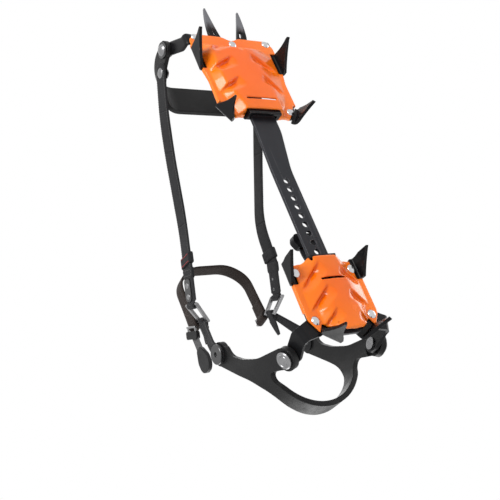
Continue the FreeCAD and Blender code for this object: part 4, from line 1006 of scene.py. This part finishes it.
def make_plates():
    """Both antiball plates, open where the frames, strap plates and bar pass."""
    gates = [
        block((-12.2, 44, -9.9), (12.2, 53, 2)), block((-12.2, -17.2, -9.9), (12.2, -5.2, 2)),
        block((-11, 27.7, -13), (11, 29.3, -8.6)),
    ]
    gates += both_blocks((-4, -9, -11.5), (9, 9, 3), (30.3, 38))
    gates += both_blocks((-4.03, -8.46, -11.9), (9.1, 8.53, 3.1), (16.23, -10.87), -57.2)
    corner = [(19, -12), (25, 8), (46, 4), (46, -26)]
    gates += [slab("gate", corner, -2.7, 2), slab("gate", [(-x, y) for x, y in reversed(corner)], -2.7, 2)]
    soft_plate("heel_antiball_plate", "heel_section", HEEL_EDGE, HEEL_PLATE, gates)
    gates = [
        block((-20.2, 176.5, -10.4), (11.8, 184.5, 2)), block((-20.5, 194.4, -13), (8.5, 195.9, -8.6)),
    ]
    gates += both_blocks((-4, -11.5, -11.5), (9, 11.5, 3), (39.1, 242.5), 0, FRONT_X)
    gates += both_blocks((-4, -9, -11.5), (9, 9, 3), (34, 186.5), -32, FRONT_X)
    gates += both_blocks((31, 257, -2.7), (48, 272, 2), x=FRONT_X)
    gates += both_blocks((4.2, 260.5, -3.3), (18, 272.5, 2), x=FRONT_X)
    soft_plate("front_antiball_plate", "front_section", FRONT_EDGE, FRONT_PLATE, gates)


make_side_straps()
make_tabs()
make_links()
make_ankle_strap()
make_tail()
make_plates()
make_lock_spring()
make_toe_brackets()


# ---------------------------------------------------------------- camera

# The photo's camera, as fitted to it: focal length in its pixels, place, and axes in the shared frame.
PHOTO_PX = 500
FOCAL_PX = 806.4
SENSOR = 36
EYE = Vector((0.36025, -0.18107, -0.40391))
RIGHT = Vector((-0.83584388, -0.32954406, -0.43905094))
DOWN = Vector((0.04745455, -0.84015591, 0.54026486))
AHEAD = Vector((-0.54691231, 0.43074211, 0.71787754))


def make_camera():
    data = bpy.data.cameras.new("camera")
    data.sensor_width = SENSOR
    data.lens = FOCAL_PX * SENSOR / PHOTO_PX
    data.clip_start = 0.01
    camera = bpy.data.objects.new("camera", data)
    bpy.context.scene.collection.objects.link(camera)
    turn = Matrix((RIGHT, -DOWN, -AHEAD)).transposed().to_4x4()
    camera.matrix_world = Matrix.Translation(EYE) @ turn
    bpy.context.scene.camera = camera


# ---------------------------------------------------------------- floor, lights

def floor_material():
    """A pale floor on its upper side; seen or lit through from below it lets everything pass."""
    m = Maker("floor_pale")
    colour = m.ramp(m.noise(3, 3), (0.3, (0.80, 0.80, 0.80)), (0.7, (0.84, 0.84, 0.84)))
    m.set(Roughness=0.9, Specular_IOR_Level=0.1)
    m.done(colour)
    tree = m.tree
    geometry = tree.nodes.new("ShaderNodeNewGeometry")
    path = tree.nodes.new("ShaderNodeLightPath")
    clear = tree.nodes.new("ShaderNodeBsdfTransparent")
    share = m.math("MAXIMUM", path.outputs["Is Shadow Ray"], geometry.outputs["Backfacing"])
    share = m.math("MAXIMUM", share, path.outputs["Is Glossy Ray"])
    mixer = tree.nodes.new("ShaderNodeMixShader")
    m.link(share, mixer.inputs[0])
    m.link(m.bsdf.outputs[0], mixer.inputs[1])
    m.link(clear.outputs[0], mixer.inputs[2])
    m.link(mixer.outputs[0], m.out.inputs[0])
    return m.mat


def make_floor():
    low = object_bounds()[0][2]
    mesh = bpy.data.meshes.new("floor")
    size = 4.0
    corners = [(-size, -size, 0), (size, -size, 0), (size, size, 0), (-size, size, 0)]
    mesh.from_pydata(corners, [], [(0, 1, 2, 3)])
    floor = bpy.data.objects.new("floor", mesh)
    floor.location.z = low - 0.0002
    mesh.materials.append(floor_material())
    bpy.context.scene.collection.objects.link(floor)


def lamp(name, place, target, size, power):
    data = bpy.data.lights.new(name, "AREA")
    data.shape = "SQUARE"
    data.size = size
    data.energy = power
    light = bpy.data.objects.new(name, data)
    light.location = place
    light.rotation_euler = (Vector(target) - Vector(place)).to_track_quat("-Z", "Y").to_euler()
    bpy.context.scene.collection.objects.link(light)


def make_light():
    world = bpy.data.worlds.new("studio")
    bpy.context.scene.world = world
    world.use_nodes = True
    tree = world.node_tree
    tree.nodes.clear()
    out = tree.nodes.new("ShaderNodeOutputWorld")
    ground = tree.nodes.new("ShaderNodeBackground")
    ground.inputs[0].default_value = (1, 1, 1, 1)
    path = tree.nodes.new("ShaderNodeLightPath")
    wide = tree.nodes.new("ShaderNodeMapRange")
    wide.inputs["To Min"].default_value = 0.68
    wide.inputs["To Max"].default_value = 1.0
    seen = path.outputs["Is Camera Ray"]
    for ray in ("Is Glossy Ray", "Is Transmission Ray"):
        both = tree.nodes.new("ShaderNodeMath")
        both.operation = "MAXIMUM"
        tree.links.new(seen, both.inputs[0])
        tree.links.new(path.outputs[ray], both.inputs[1])
        seen = both.outputs[0]
    tree.links.new(seen, wide.inputs["Value"])
    tree.links.new(wide.outputs[0], ground.inputs["Strength"])
    tree.links.new(ground.outputs[0], out.inputs[0])
    middle = (0, 0.12, 0.03)
    lamp("key_above", (-0.3, -0.7, 1.1), middle, 0.9, 7)
    lamp("fill_above", (-0.6, 0.9, 0.9), middle, 0.9, 4)
    lamp("key_below", (0.8, 0.5, -0.55), middle, 0.5, 8.5)
    lamp("side", (-1.2, 0.35, -0.1), middle, 0.7, 4)


make_camera()
make_floor()
make_light()
bpy.context.scene.view_settings.view_transform = "Standard"
